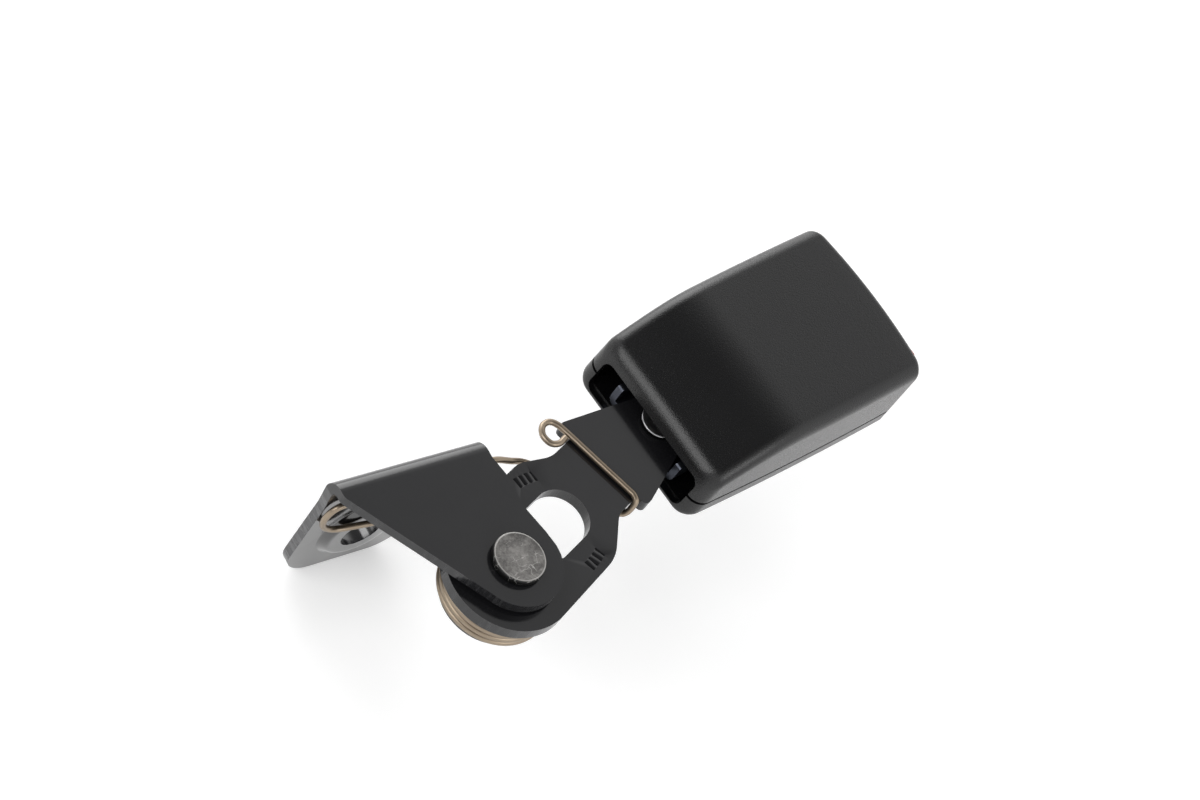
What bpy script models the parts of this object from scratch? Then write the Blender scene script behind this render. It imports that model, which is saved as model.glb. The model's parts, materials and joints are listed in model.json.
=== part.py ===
"""Seat belt buckle with an end release button, on a steel stem that swivels in a folded anchor bracket.

X runs along the buckle head towards its button, Z is the axis of both rivets, and the origin is
the middle of the bolt hole on the face of the foot that lies against the vehicle's body.
"""

import math

import bmesh
import bpy
from mathutils import Matrix, Vector

MM = 0.001
GAP = 0.3 * MM

# Anchor bracket: an arm over the stem, folded down into a foot with the bolt hole.
PLATE = 3.0 * MM
ARM_RADIUS = 13.3 * MM
ARM_UNDER = 1.1 * MM
FOLD_INNER_RADIUS = 2.0 * MM
FOLD_REACH = 36.3 * MM
FOLD_LEFT, FOLD_RIGHT = -37.5 * MM, 8.7 * MM
FOOT_DEPTH = 46.7 * MM
BOLT_HOLE_RADIUS = 5.9 * MM
BOLT_HOLE_X, BOLT_HOLE_DROP = -18.3 * MM, 26.2 * MM
EMBOSS_RADIUS, EMBOSS_RISE = 12.0 * MM, 1.9 * MM
BRACKET_TURN = math.radians(-9)

# Stem: a ring with a D-hole round the pivot, a waisted neck with ears, and a tapered end.
STEM_PLATE = 3.8 * MM
STEM_TURN = math.radians(14.1)
STEM_LENGTH = 70.2 * MM
RING_RADIUS = 18.2 * MM
D_HOLE_RADIUS = 8.0 * MM
D_HOLE_START, D_HOLE_END = 12.5 * MM, 32.3 * MM
NECK_START, NECK_END = 39.5 * MM, 46.5 * MM
NECK_HALF, EAR_HALF = 11.6 * MM, 15.6 * MM
NECK_OFFSET = 1.8 * MM
STEM_END_RADIUS = 9.6 * MM

# Pivot rivet, the spring's spool under the stem, and the wire spring.
RIVET_RADIUS = 5.0 * MM
RIVET_HEAD_RADIUS, RIVET_HEAD_HEIGHT = 7.5 * MM, 2.1 * MM
WIRE_RADIUS = 0.9 * MM
COIL_RADIUS, COIL_TURNS, COIL_PITCH = 15.1 * MM, 4.0, 1.9 * MM

# Buckle head, measured from its rivet: X towards the button, Z from the stem's top face.
FRAME_HALF, FRAME_PLATE = 14.25 * MM, 2.0 * MM
BUTTON_HALF = FRAME_HALF + 5.35 * MM
HEAD_HALF = BUTTON_HALF + 6.5 * MM
HEAD_BACK, HEAD_FRONT = -6.3 * MM, 73.9 * MM
HEAD_BOTTOM, HEAD_TOP = -9.0 * MM, 19.4 * MM
BACK_TOP = 9.4 * MM
PARTING = -1.9 * MM
WALL = 2.0 * MM
MOUTH_HALF, MOUTH_LOW, MOUTH_HIGH = HEAD_HALF - 5.3 * MM, -7.6 * MM, 3.8 * MM
FRAME_UNDER = -6.7 * MM
FRAME_BACK, FRAME_FRONT = -3.5 * MM, HEAD_FRONT - 9.9 * MM
BUCKLE_RIVET_RADIUS, BUCKLE_RIVET_HEAD = 3.2 * MM, 5.3 * MM
BUTTON_LOW, BUTTON_HIGH = 3.1 * MM, 15.2 * MM
BUTTON_FRONT = HEAD_FRONT + 1.1 * MM
ARM_BACK = FRAME_FRONT - 22.0 * MM
BUTTON_TRAVEL = 4.5 * MM
BUTTON_BACK = FRAME_FRONT + BUTTON_TRAVEL + GAP
SLOT_HALF, SLOT_HIGH = FRAME_HALF + 0.35 * MM, 2.6 * MM
SPRING_RIB_X, SPRING_RIB_THICK = 22.0 * MM, 2.0 * MM
LATCH_PIN_X, LATCH_PIN_Z, LATCH_PIN_RADIUS = 22.0 * MM, 4.6 * MM, 1.5 * MM
LATCH_LIFT = math.radians(9.5)
LATCH_SPRING_X = 35.0 * MM
NOSE_BACK, NOSE_FRONT = 45.0 * MM, 49.5 * MM
EAR_BACK, EAR_FRONT = NOSE_FRONT + 3.0 * MM, NOSE_FRONT + 6.5 * MM
LATCH_HALF = FRAME_HALF - FRAME_PLATE - 3.25 * MM
NOSE_HALF, EAR_OUT = LATCH_HALF - 3.0 * MM, LATCH_HALF + 2.4 * MM
EJECTOR_TIP = NOSE_FRONT + 2.5 * MM
EJECTOR_BACK, EJECTOR_BRIDGE = EJECTOR_TIP - 24.0 * MM, 6.0 * MM
EJECTOR_TRAVEL = 10.0 * MM
TAB_X, TAB_THICK = 11.2 * MM, 1.6 * MM
COIL_WIRE = 0.35 * MM

OBJECT_NAME = "seat_belt_buckle"

for old in list(bpy.data.objects):
    bpy.data.objects.remove(old, do_unlink=True)
parts = bpy.data.collections.new(OBJECT_NAME)
cutters = bpy.data.collections.new("cutters")
for collection in (parts, cutters):
    bpy.context.scene.collection.children.link(collection)


def material(name, color, roughness, metallic=0.0):
    made = bpy.data.materials.new(name)
    made.use_nodes = True
    shader = made.node_tree.nodes["Principled BSDF"]
    shader.inputs["Base Color"].default_value = (*color, 1)
    shader.inputs["Roughness"].default_value = roughness
    shader.inputs["Metallic"].default_value = metallic
    return made


def empty(name, location, turn=0.0, parent=None):
    """A joint's frame: an empty on the joint's axis, turned about Z."""
    made = bpy.data.objects.new(name, None)
    made.empty_display_size = 0.02
    made.parent = parent
    made.location = location
    made.rotation_euler = (0, 0, turn)
    parts.objects.link(made)
    return made


def add(name, bm, parent=None, location=(0, 0, 0), smooth=30, collection=parts):
    """Makes an object of a bmesh, with its faces turned out."""
    bmesh.ops.remove_doubles(bm, verts=bm.verts[:], dist=1e-7)
    bmesh.ops.recalc_face_normals(bm, faces=bm.faces[:])
    mesh = bpy.data.meshes.new(name)
    bm.to_mesh(mesh)
    bm.free()
    if smooth:
        mesh.shade_smooth()
        mesh.set_sharp_from_angle(angle=math.radians(smooth))
    made = bpy.data.objects.new(name, mesh)
    made.parent = parent
    made.location = location
    collection.objects.link(made)
    if collection is cutters:
        made.hide_render = True
        made.display_type = "WIRE"
    return made


def arc(x, y, radius, start, end, steps):
    """Points of an arc, angles in degrees."""
    angles = [math.radians(start + (end - start) * i / steps) for i in range(steps + 1)]
    return [(x + radius * math.cos(a), y + radius * math.sin(a)) for a in angles]


def filleted(corners, steps=4):
    """An outline from (x, y, radius) corners, each rounded to its radius."""
    outline = []
    for i, (x, y, radius) in enumerate(corners):
        here = Vector((x, y))
        before = (Vector(corners[i - 1][:2]) - here).normalized()
        after = (Vector(corners[(i + 1) % len(corners)][:2]) - here).normalized()
        half = before.angle(after) / 2
        if radius <= 0 or half > math.radians(89):
            outline.append((x, y))
            continue
        reach = radius / math.tan(half)
        middle = here + (before + after).normalized() * (radius / math.sin(half))
        first, last = here + before * reach - middle, here + after * reach - middle
        sweep = first.angle_signed(last)
        for k in range(steps + 1):
            turn = Matrix.Rotation(-sweep * k / steps, 2)
            outline.append(tuple(middle + turn @ first))
    return outline


def prism(outline, low, high):
    """A bmesh of a flat outline between two heights."""
    bm = bmesh.new()
    face = bm.faces.new([bm.verts.new((x, y, low)) for x, y in outline])
    raised = bmesh.ops.extrude_face_region(bm, geom=[face])["geom"]
    moved = [v for v in raised if isinstance(v, bmesh.types.BMVert)]
    bmesh.ops.translate(bm, verts=moved, vec=(0, 0, high - low))
    return bm


def side_prism(outline, left, right):
    """A bmesh of an outline in X and Z, drawn out along Y."""
    bm = prism(outline, left, right)
    for v in bm.verts:
        v.co = Vector((v.co.x, v.co.z, v.co.y))
    return bm


def block(x, y, z):
    """A bmesh box from three (low, high) pairs."""
    bm = bmesh.new()
    bmesh.ops.create_cube(bm, size=1)
    size = Vector((x[1] - x[0], y[1] - y[0], z[1] - z[0]))
    middle = Vector((sum(x), sum(y), sum(z))) / 2
    for v in bm.verts:
        v.co = Vector(a * b for a, b in zip(v.co, size)) + middle
    return bm


def drum(radius, low, high, x=0.0, y=0.0, steps=32, top_radius=None, axis="Z"):
    """A bmesh cylinder or frustum from low to high along an axis through (x, y)."""
    bm = bmesh.new()
    bmesh.ops.create_cone(
        bm, cap_ends=True, segments=steps, radius1=radius,
        radius2=radius if top_radius is None else top_radius, depth=high - low,
    )
    bmesh.ops.translate(bm, verts=bm.verts[:], vec=(x, y, (low + high) / 2))
    if axis == "Y":
        for v in bm.verts:
            v.co = Vector((v.co.x, v.co.z, v.co.y))
    if axis == "X":
        for v in bm.verts:
            v.co = Vector((v.co.z, v.co.x, v.co.y))
    return bm


def turned(name, profile, parent, location=(0, 0, 0), steps=36, smooth=30):
    """A turned piece: a (radius, height) profile, run from its top outwards and down."""
    mesh = bpy.data.meshes.new(name)
    count = len(profile)
    edges = [(i, i + 1) for i in range(count - 1)]
    if profile[0][0] > 0:
        edges.append((count - 1, 0))
    mesh.from_pydata([(r, 0, z) for r, z in profile], edges, [])
    made = bpy.data.objects.new(name, mesh)
    made.parent = parent
    made.location = location
    parts.objects.link(made)
    screw = made.modifiers.new("turn", "SCREW")
    screw.steps = screw.render_steps = steps
    screw.use_merge_vertices = True
    screw.merge_threshold = 1e-6
    screw.use_smooth_shade = False
    return made


def cut(target, bm, name="cutter", operation="DIFFERENCE"):
    """Cuts a closed shape from a piece, or joins it on, in the piece's own frame."""
    tool = add(name, bm, parent=target, smooth=0, collection=cutters)
    change = target.modifiers.new(name, "BOOLEAN")
    change.operation = operation
    change.object = tool
    return tool


def join(target, bm, name="boss"):
    return cut(target, bm, name, "UNION")


def softened(target, width, angle=50, segments=1):
    """Breaks a piece's sharp edges."""
    bevel = target.modifiers.new("edges", "BEVEL")
    bevel.width = width
    bevel.segments = segments
    bevel.limit_method = "ANGLE"
    bevel.angle_limit = math.radians(angle)
    bevel.use_clamp_overlap = True
    return bevel


def wire(name, points, radius, parent=None, location=(0, 0, 0), resolution=2):
    """A round wire along a list of points, with filled ends."""
    curve = bpy.data.curves.new(name, "CURVE")
    curve.dimensions = "3D"
    curve.bevel_depth = radius
    curve.bevel_resolution = resolution
    curve.use_fill_caps = True
    spline = curve.splines.new("POLY")
    spline.points.add(len(points) - 1)
    for place, point in zip(spline.points, points):
        place.co = (*point, 1)
    made = bpy.data.objects.new(name, curve)
    made.parent = parent
    made.location = location
    parts.objects.link(made)
    return made


def smooth_path(points, steps):
    """A smooth curve through points, with a fixed number of steps between neighbours."""
    points = [Vector(p) for p in points]
    padded = [2 * points[0] - points[1], *points, 2 * points[-1] - points[-2]]
    path = [points[0]]
    for a, b, c, d in zip(padded, padded[1:], padded[2:], padded[3:]):
        count = steps if (c - b).length > 2.5 * MM else max(1, steps // 2)
        for k in range(1, count + 1):
            t = k / count
            path.append(
                0.5 * (2 * b + (c - a) * t + (2 * a - 5 * b + 4 * c - d) * t**2
                       + (3 * b - a - 3 * c + d) * t**3)
            )
    return path


def helix(radius, low, high, turns, steps):
    """Points of a compression spring along Z, with closed end turns."""
    count = round(turns * steps)
    points = []
    for i in range(count + 1):
        a = 2 * math.pi * i / steps
        t = i / count
        rise = min(max((t - 0.12) / 0.76, 0), 1)
        points.append((radius * math.cos(a), radius * math.sin(a), low + (high - low) * rise))
    return points


def along_x(points):
    return [(z, x, y) for x, y, z in points]


black_coat = material("black_coat", (0.012, 0.012, 0.014), 0.28)
bare_steel = material("bare_steel", (0.42, 0.41, 0.40), 0.42, 1.0)
zinc_steel = material("zinc_steel", (0.45, 0.46, 0.47), 0.35, 1.0)
spring_wire = material("spring_wire", (0.50, 0.42, 0.32), 0.38, 0.9)
nylon = material("nylon", (0.03, 0.03, 0.032), 0.5)
shell_black = material("shell_black", (0.011, 0.011, 0.012), 0.42)
button_red = material("button_red", (0.55, 0.015, 0.02), 0.35)
white_acetal = material("white_acetal", (0.7, 0.7, 0.67), 0.45)

# Frames of the three bodies, from the bolt hole to the pivot and on to the buckle's rivet.
hole_from_pivot = Matrix.Rotation(BRACKET_TURN, 2) @ Vector((BOLT_HOLE_X, FOLD_REACH))
pivot_place = Vector((-hole_from_pivot.x, -hole_from_pivot.y, BOLT_HOLE_DROP))
bracket_frame = empty("bracket_frame", pivot_place, BRACKET_TURN)
stem_frame = empty("stem_swivel", pivot_place, STEM_TURN)
head_frame = empty("head_swivel", (STEM_LENGTH, 0, 0), -STEM_TURN, stem_frame)


# Anchor bracket: a flat blank, drawn developed, then folded about the line of the fold.
ARM_TOP = ARM_UNDER + PLATE
fold_outer = FOLD_INNER_RADIUS + PLATE
fold_y, fold_z = FOLD_REACH - fold_outer, ARM_TOP - fold_outer
fold_length = (FOLD_INNER_RADIUS + PLATE / 2) * math.pi / 2
foot_end = fold_length + FOOT_DEPTH - fold_outer
foot_left = BOLT_HOLE_X - 18.0 * MM
foot_right = BOLT_HOLE_X + 18.6 * MM
arm_edge = 10.2 * MM


def arm_corners():
    """The developed blank from the arm's round end to the foot's bottom edge."""
    tangent = math.degrees(math.atan2(-20, -35)) + 360
    lower = [(x, y - fold_y, 0) for x, y in arc(0, 0, ARM_RADIUS, tangent, 366, 12)]
    right = [
        (12.4 * MM, 5.6 * MM - fold_y, 0),
        (arm_edge, 13.5 * MM - fold_y, 5 * MM),
        (arm_edge, 24.4 * MM - fold_y, 0.7 * MM),
        (FOLD_RIGHT, 26.4 * MM - fold_y, 1.2 * MM),
        (FOLD_RIGHT, fold_length + 3 * MM, 4 * MM),
        (foot_right + 2 * MM, foot_end - 14 * MM, 10 * MM),
        (foot_right - 2 * MM, foot_end, 9 * MM),
    ]
    left = [
        (foot_left, foot_end + 1.2 * MM, 10 * MM),
        (foot_left - 0.2 * MM, fold_length + 8 * MM, 2 * MM),
        (FOLD_LEFT, fold_length, 2 * MM),
        (FOLD_LEFT, -1.5 * MM, 3 * MM),
    ]
    return lower + right + left


def fold(bm):
    """Bends what lies past the fold's line down by a right angle."""
    for k in range(7):
        place = (0, fold_length * k / 6, 0)
        geometry = bm.verts[:] + bm.edges[:] + bm.faces[:]
        bmesh.ops.bisect_plane(bm, geom=geometry, dist=1e-8, plane_co=place, plane_no=(0, 1, 0))
    for v in bm.verts:
        along, under = v.co.y, -v.co.z
        if along <= 0:
            v.co = (v.co.x, fold_y + along, ARM_TOP - under)
            continue
        angle = min(along / fold_length, 1) * math.pi / 2
        past = max(along - fold_length, 0)
        radius = fold_outer - under
        v.co = (v.co.x, fold_y + radius * math.sin(angle), fold_z + radius * math.cos(angle) - past)


blank = prism(filleted(arm_corners()), -PLATE, 0)
fold(blank)
bracket = add("anchor_bracket", blank, bracket_frame)
bracket.data.materials.append(black_coat)
inner_face = FOLD_REACH - PLATE
hole_axis = (BOLT_HOLE_X, -BOLT_HOLE_DROP)
emboss = drum(
    EMBOSS_RADIUS - 1.9 * MM, inner_face - EMBOSS_RISE, inner_face + 0.4 * MM,
    *hole_axis, top_radius=EMBOSS_RADIUS, axis="Y", steps=40,
)
join(bracket, emboss, "emboss")
dimple = drum(
    EMBOSS_RADIUS - 3.8 * MM, FOLD_REACH - EMBOSS_RISE + 0.3 * MM, FOLD_REACH + 0.4 * MM,
    *hole_axis, top_radius=EMBOSS_RADIUS - 2.0 * MM, axis="Y", steps=40,
)
cut(bracket, dimple, "dimple")
cut(bracket, drum(BOLT_HOLE_RADIUS, inner_face - 6 * MM, FOLD_REACH + 6 * MM, *hole_axis,
                  axis="Y", steps=40), "bolt_hole")
cut(bracket, drum(RIVET_RADIUS + GAP, ARM_UNDER - 3 * MM, ARM_TOP + 3 * MM), "rivet_hole")

# Pivot rivet: a flat head over the arm and a peened tail under the spool's washer.
stem_under = -STEM_PLATE
spool_top = stem_under - GAP
coil_low = spool_top - WIRE_RADIUS - 0.2 * MM - COIL_TURNS * COIL_PITCH
flange_top = coil_low - WIRE_RADIUS - GAP
flange_under = flange_top - 1.0 * MM
washer_under = flange_under - GAP - 1.0 * MM
tail_top = washer_under - GAP
head_low = ARM_TOP + 0.2 * MM
head_high = head_low + RIVET_HEAD_HEIGHT
rivet = turned("pivot_rivet", [
    (0, head_high), (RIVET_HEAD_RADIUS - 1.0 * MM, head_high),
    (RIVET_HEAD_RADIUS - 0.35 * MM, head_high - 0.15 * MM),
    (RIVET_HEAD_RADIUS, head_high - 0.6 * MM), (RIVET_HEAD_RADIUS, head_low + 0.3 * MM),
    (RIVET_HEAD_RADIUS - 0.3 * MM, head_low), (RIVET_RADIUS, head_low),
    (RIVET_RADIUS, tail_top), (7.0 * MM, tail_top), (7.0 * MM, tail_top - 0.8 * MM),
    (5.6 * MM, tail_top - 1.6 * MM), (0, tail_top - 1.9 * MM),
], bracket_frame)
rivet.data.materials.append(bare_steel)


def ring(name, inner, outer, low, high, parent, location=(0, 0, 0)):
    edge = min(0.15 * MM, (high - low) / 4)
    return turned(name, [
        (inner, high), (outer - edge, high), (outer, high - edge), (outer, low + edge),
        (outer - edge, low), (inner, low),
    ], parent, location)


washer = ring("pivot_washer", RIVET_RADIUS + GAP, 10.5 * MM, GAP, ARM_UNDER - GAP, bracket_frame)
washer.data.materials.append(nylon)
spool_outer = COIL_RADIUS - WIRE_RADIUS - GAP
spool = turned("spring_spool", [
    (RIVET_RADIUS + GAP, spool_top), (spool_outer - 0.4 * MM, spool_top),
    (spool_outer, spool_top - 0.4 * MM), (spool_outer, flange_top),
    (COIL_RADIUS - 0.2 * MM, flange_top), (COIL_RADIUS - 0.2 * MM, flange_under),
    (RIVET_RADIUS + GAP, flange_under),
], bracket_frame)
spool.data.materials.append(nylon)
spool_washer = ring(
    "spool_washer", RIVET_RADIUS + GAP, 9.0 * MM, washer_under, flange_under - GAP, bracket_frame
)
spool_washer.data.materials.append(zinc_steel)


# Stem: the ring, the shoulders, the notched neck with its ears, and the taper to the buckle.
def stem_outline():
    top, low = NECK_OFFSET + NECK_HALF, NECK_OFFSET - NECK_HALF
    ear_top, ear_low = NECK_OFFSET + EAR_HALF + 0.5 * MM, NECK_OFFSET - EAR_HALF + 0.5 * MM
    flat = NECK_END + 0.9 * MM
    lower = [
        (26.5 * MM, -RING_RADIUS + 0.9 * MM, 13 * MM),
        (NECK_START - 1.5 * MM, low, 7 * MM),
        (NECK_END, low, 0.8 * MM),
        (NECK_END, ear_low, 1.6 * MM),
        (flat + 1.6 * MM, ear_low, 2.2 * MM),
    ]
    angle = math.asin((STEM_END_RADIUS + ear_low) / (STEM_LENGTH - flat))
    lower_end = -90 - math.degrees(angle)
    upper_end = 90 - 17.5
    end = [(x, y, 0) for x, y in arc(STEM_LENGTH, 0, STEM_END_RADIUS, lower_end + 12, upper_end, 12)]
    upper = [
        (flat + 0.6 * MM, ear_top, 2.0 * MM),
        (NECK_END, ear_top, 1.4 * MM),
        (NECK_END, top, 0.8 * MM),
        (NECK_START - 3.0 * MM, top, 9 * MM),
        (27.5 * MM, RING_RADIUS, 9 * MM),
    ]
    back = [(x, y, 0) for x, y in arc(0, 0, RING_RADIUS, 90, 268, 22)]
    return filleted(lower + end + upper + back, steps=5)


stem = add("stem", prism(stem_outline(), -STEM_PLATE, 0), stem_frame)
stem.data.materials.append(black_coat)
softened(stem, 0.35 * MM)
d_middle = D_HOLE_END - D_HOLE_RADIUS
d_hole = [(x, y + 0.3 * MM, 0) for x, y in arc(d_middle, 0, D_HOLE_RADIUS, -90, 90, 14)]
d_hole += [
    (D_HOLE_START, D_HOLE_RADIUS + 0.3 * MM, 2.5 * MM),
    (D_HOLE_START, -D_HOLE_RADIUS + 0.3 * MM, 2.5 * MM),
]
cut(stem, prism(filleted(d_hole), -STEM_PLATE - 2 * MM, 2 * MM), "d_hole")
cut(stem, drum(RIVET_RADIUS + GAP, -STEM_PLATE - 2 * MM, 2 * MM), "pivot_bore")
cut(stem, drum(BUCKLE_RIVET_RADIUS + GAP, -STEM_PLATE - 2 * MM, 2 * MM, x=STEM_LENGTH,
               steps=24), "buckle_bore")


# Torsion spring: one wire from the curl at the neck to the coil round the spool.
def in_bracket(x, y, z):
    return Matrix.Rotation(BRACKET_TURN, 3, "Z") @ Vector((x * MM, y * MM, z * MM))


def in_stem(x, y, z):
    return Matrix.Rotation(STEM_TURN, 3, "Z") @ Vector((x * MM, y * MM, z * MM))


def spring_path():
    over = (WIRE_RADIUS + 0.2 * MM) / MM
    under = (-STEM_PLATE - WIRE_RADIUS - 0.25 * MM) / MM
    front = (NECK_END - WIRE_RADIUS - 0.3 * MM) / MM
    side = (NECK_OFFSET - NECK_HALF - WIRE_RADIUS - 0.3 * MM) / MM
    ear = (NECK_OFFSET + EAR_HALF) / MM
    inside = (inner_face - WIRE_RADIUS) / MM - 0.5
    curl = [
        in_stem(front + x, ear + y, over)
        for x, y in ((-1.6, -3.0), (-4.4, -3.0), (-6.4, -1.4), (-6.3, 1.4), (-4.2, 3.3),
                     (-1.7, 3.1), (-0.3, 1.2))
    ]
    neck = [
        in_stem(front, ear - 2.5, over), in_stem(front, 0, over),
        in_stem(front - 0.2, side + 2.6, over), in_stem(front, side + 0.4, over - 0.5),
        in_stem(front, side, -1.6), in_stem(front - 0.3, side + 0.1, -3.6),
        in_stem(front - 1.4, side + 1.6, under), in_stem(front - 4.5, side + 8, under - 0.1),
        in_stem(38.2, 7.5, under - 0.1), in_stem(33.6, 17.0, under - 0.1),
    ]
    arm_side = [
        in_bracket(18.1, 30.0, -3.0), in_bracket(12.8, 31.0, -1.9),
        in_bracket(5.0, inside - 0.4, -2.6), in_bracket(-10, inside, -4.4),
        in_bracket(-24, inside, -5.4), in_bracket(-31.4, inside, -5.9),
    ]
    hairpin = [
        in_bracket(-34.6, inside, -7.4), in_bracket(-35.7, inside, -11.4),
        in_bracket(-34.4, inside, -15.8), in_bracket(-31.5, inside - 0.2, -18.4),
        in_bracket(-28.0, inside - 0.8, -18.8), in_bracket(-21.9, inside - 2.2, -17.0),
        in_bracket(-12, 27.6, -14.8), in_bracket(0, 21.8, -13.1),
    ]
    start = math.radians(58)
    low = coil_low
    count = round(COIL_TURNS * 24)
    coil = []
    for i in range(count + 1):
        angle = start - 2 * math.pi * i / 24
        rise = low + COIL_PITCH * COIL_TURNS * i / count
        coil.append(Vector((COIL_RADIUS * math.cos(angle), COIL_RADIUS * math.sin(angle), rise)))
    loose = smooth_path(curl + neck + arm_side + hairpin + [
        Vector((COIL_RADIUS * 0.28, COIL_RADIUS * 1.12, low - 0.3 * MM)), coil[0]], 4)
    return loose + coil[1:]


spring = wire("torsion_spring", spring_path(), WIRE_RADIUS, location=pivot_place)
spring.data.materials.append(spring_wire)


# Buckle shells: one lofted body, hollowed, then parted into an upper and a lower cover.
def blend(value, low, high):
    t = min(max((value - low) / (high - low), 0), 1)
    return t * t * (3 - 2 * t)


def top_height(x):
    """The crown of the head: it falls away towards the stem's end."""
    fall = min(max((26 * MM - x) / (30 * MM), 0), 1.1)
    rise = 1.1 * MM * min(max((x - 26 * MM) / (44 * MM), 0), 1)
    middle = HEAD_TOP - 1.1 * MM
    return middle + rise - (middle - BACK_TOP) * fall**1.7


ACROSS = 6


def section(x, inset, shrink, steps):
    """A rounded rectangle across the head, with a slight crown and larger radii above than below.

    It starts at the right side's middle and runs over the top, with ACROSS steps between the
    corners, so that point i lies above point -1 - i.
    """
    swell = 1 - ((x - 0.6 * HEAD_FRONT) / (0.6 * HEAD_FRONT - HEAD_BACK))**2
    half = HEAD_HALF - inset - shrink - 0.9 * MM * (1 - swell)
    low, high = HEAD_BOTTOM + inset + shrink, top_height(x) - inset - shrink
    points = []
    for level, radius, way in (
        (high, max(3.6 * MM - 0.6 * inset, 1.2 * MM), 1),
        (low, max(3.0 * MM - 0.6 * inset, 1.2 * MM), -1),
    ):
        middle = level - way * radius
        right = [(half - radius + radius * math.cos(a), middle + way * radius * math.sin(a))
                 for a in (math.pi / 2 * k / steps for k in range(steps + 1))]
        flat = [((half - radius) * (1 - 2 * k / ACROSS), level) for k in range(1, ACROSS)]
        row = right + flat + [(-y, z) for y, z in reversed(right)]
        crown = 0.45 * MM if way > 0 else 0.0
        row = [(y, z - crown * (y / half)**2) for y, z in row]
        points += row if way > 0 else list(reversed(row))
    return points


def head_body(inset=0.0, back=HEAD_BACK, front=HEAD_FRONT, steps=4, edge=2.2 * MM):
    """The head's outer or inner form, lofted along X through rounded sections."""
    lip = 0.55 * edge
    angles = [math.pi / 2 * k / 3 for k in range(4)]
    stations = [(back + lip * (1 - math.cos(a)), lip * (1 - math.sin(a))) for a in angles]
    start = back + lip
    span = front - edge - start
    stations += [(start + span * k / 9, 0.0) for k in range(1, 9)]
    stations += [(front - edge * (1 - math.sin(a)), edge * (1 - math.cos(a))) for a in angles]
    bm = bmesh.new()
    rings = []
    for x, shrink in stations:
        slant = 1 - blend(x, back, back + 30 * MM)
        bow = blend(x, front - 30 * MM, front)
        rings.append([
            bm.verts.new((
                x + slant * 0.17 * (z - HEAD_BOTTOM) - bow * 1.7 * MM * (y / HEAD_HALF)**2, y, z
            ))
            for y, z in section(x, inset, shrink, steps)
        ])
    count = len(rings[0])
    for one, other in zip(rings, rings[1:]):
        for i in range(count):
            j = (i + 1) % count
            bm.faces.new((one[i], one[j], other[j], other[i]))
    for end in (rings[0], rings[-1]):
        for i in range(count // 2 - 1):
            bm.faces.new((end[i], end[i + 1], end[-2 - i], end[-1 - i]))
    bmesh.ops.recalc_face_normals(bm, faces=bm.faces[:])
    bmesh.ops.triangulate(bm, faces=bm.faces[:])
    return bm


def below(bm, height, above=False):
    """Keeps what lies below a height, or above it, and closes the cut."""
    geometry = bm.verts[:] + bm.edges[:] + bm.faces[:]
    bmesh.ops.bisect_plane(
        bm, geom=geometry, dist=1e-8, plane_co=(0, 0, height), plane_no=(0, 0, 1),
        clear_outer=not above, clear_inner=above,
    )
    bmesh.ops.holes_fill(bm, edges=[e for e in bm.edges if e.is_boundary], sides=0)
    return bm


def mouth(low, high):
    """The rounded opening at the stem's end."""
    corners = [(-MOUTH_HALF, low, 2.6 * MM), (MOUTH_HALF, low, 2.6 * MM),
               (MOUTH_HALF, high, 2.6 * MM), (-MOUTH_HALF, high, 2.6 * MM)]
    bm = prism(filleted(corners), HEAD_BACK - 6 * MM, HEAD_BACK + 9 * MM)
    for v in bm.verts:
        v.co = Vector((v.co.z, v.co.x, v.co.y))
    return bm


def end_window(half, low, high, radius=1.5 * MM):
    """An opening through the button's end."""
    corners = [(-half, low, radius), (half, low, radius), (half, high, radius), (-half, high, radius)]
    bm = prism(filleted(corners, 3), HEAD_FRONT - 8 * MM, HEAD_FRONT + 4 * MM)
    for v in bm.verts:
        v.co = Vector((v.co.z, v.co.x, v.co.y))
    return bm


def hollow():
    return head_body(WALL, HEAD_BACK + WALL, HEAD_FRONT - WALL, steps=2, edge=1.2 * MM)


seam = 0.3 * MM
upper_cover = add("upper_cover", below(head_body(), PARTING + seam / 2, above=True), head_frame)
lower_cover = add("lower_cover", below(head_body(), PARTING - seam / 2), head_frame)
for cover in (upper_cover, lower_cover):
    cover.data.materials.append(shell_black)
    cut(cover, hollow(), "hollow")
    cut(cover, mouth(MOUTH_LOW, MOUTH_HIGH), "mouth")
    cut(cover, end_window(SLOT_HALF, FRAME_UNDER + FRAME_PLATE - 0.2 * MM, SLOT_HIGH), "tongue_slot")
cut(upper_cover, end_window(BUTTON_HALF + 0.4 * MM, SLOT_HIGH - 1 * MM, BUTTON_HIGH + 0.4 * MM),
    "button_window")

# Ribs inside the upper cover carry the frame's ends and the button's springs.
for side in (-1, 1):
    y = sorted((side * (FRAME_HALF - 1.9 * MM), side * FRAME_HALF))
    join(upper_cover, block((-0.5 * MM, 7 * MM), y, (0.9 * MM, 9.9 * MM)), "mouth_rib")
    y = sorted((side * (FRAME_HALF + 0.95 * MM), side * (HEAD_HALF - 1.2 * MM)))
    join(upper_cover, block((SPRING_RIB_X, SPRING_RIB_X + SPRING_RIB_THICK), y, (2.0 * MM, 15 * MM)),
         "spring_rib")
    join(lower_cover, block((8 * MM, 9.6 * MM), y, (HEAD_BOTTOM + 1 * MM, PARTING - 0.5 * MM)),
         "lower_rib")
seat_low = 13.2 * MM
join(upper_cover, drum(4.2 * MM, seat_low, top_height(LATCH_SPRING_X) - WALL / 2,
                       x=LATCH_SPRING_X, steps=20), "spring_seat")
cut(lower_cover, drum(BUCKLE_RIVET_HEAD + 1.2 * MM, HEAD_BOTTOM + 0.7 * MM, PARTING, steps=24),
    "rivet_pocket")

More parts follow.
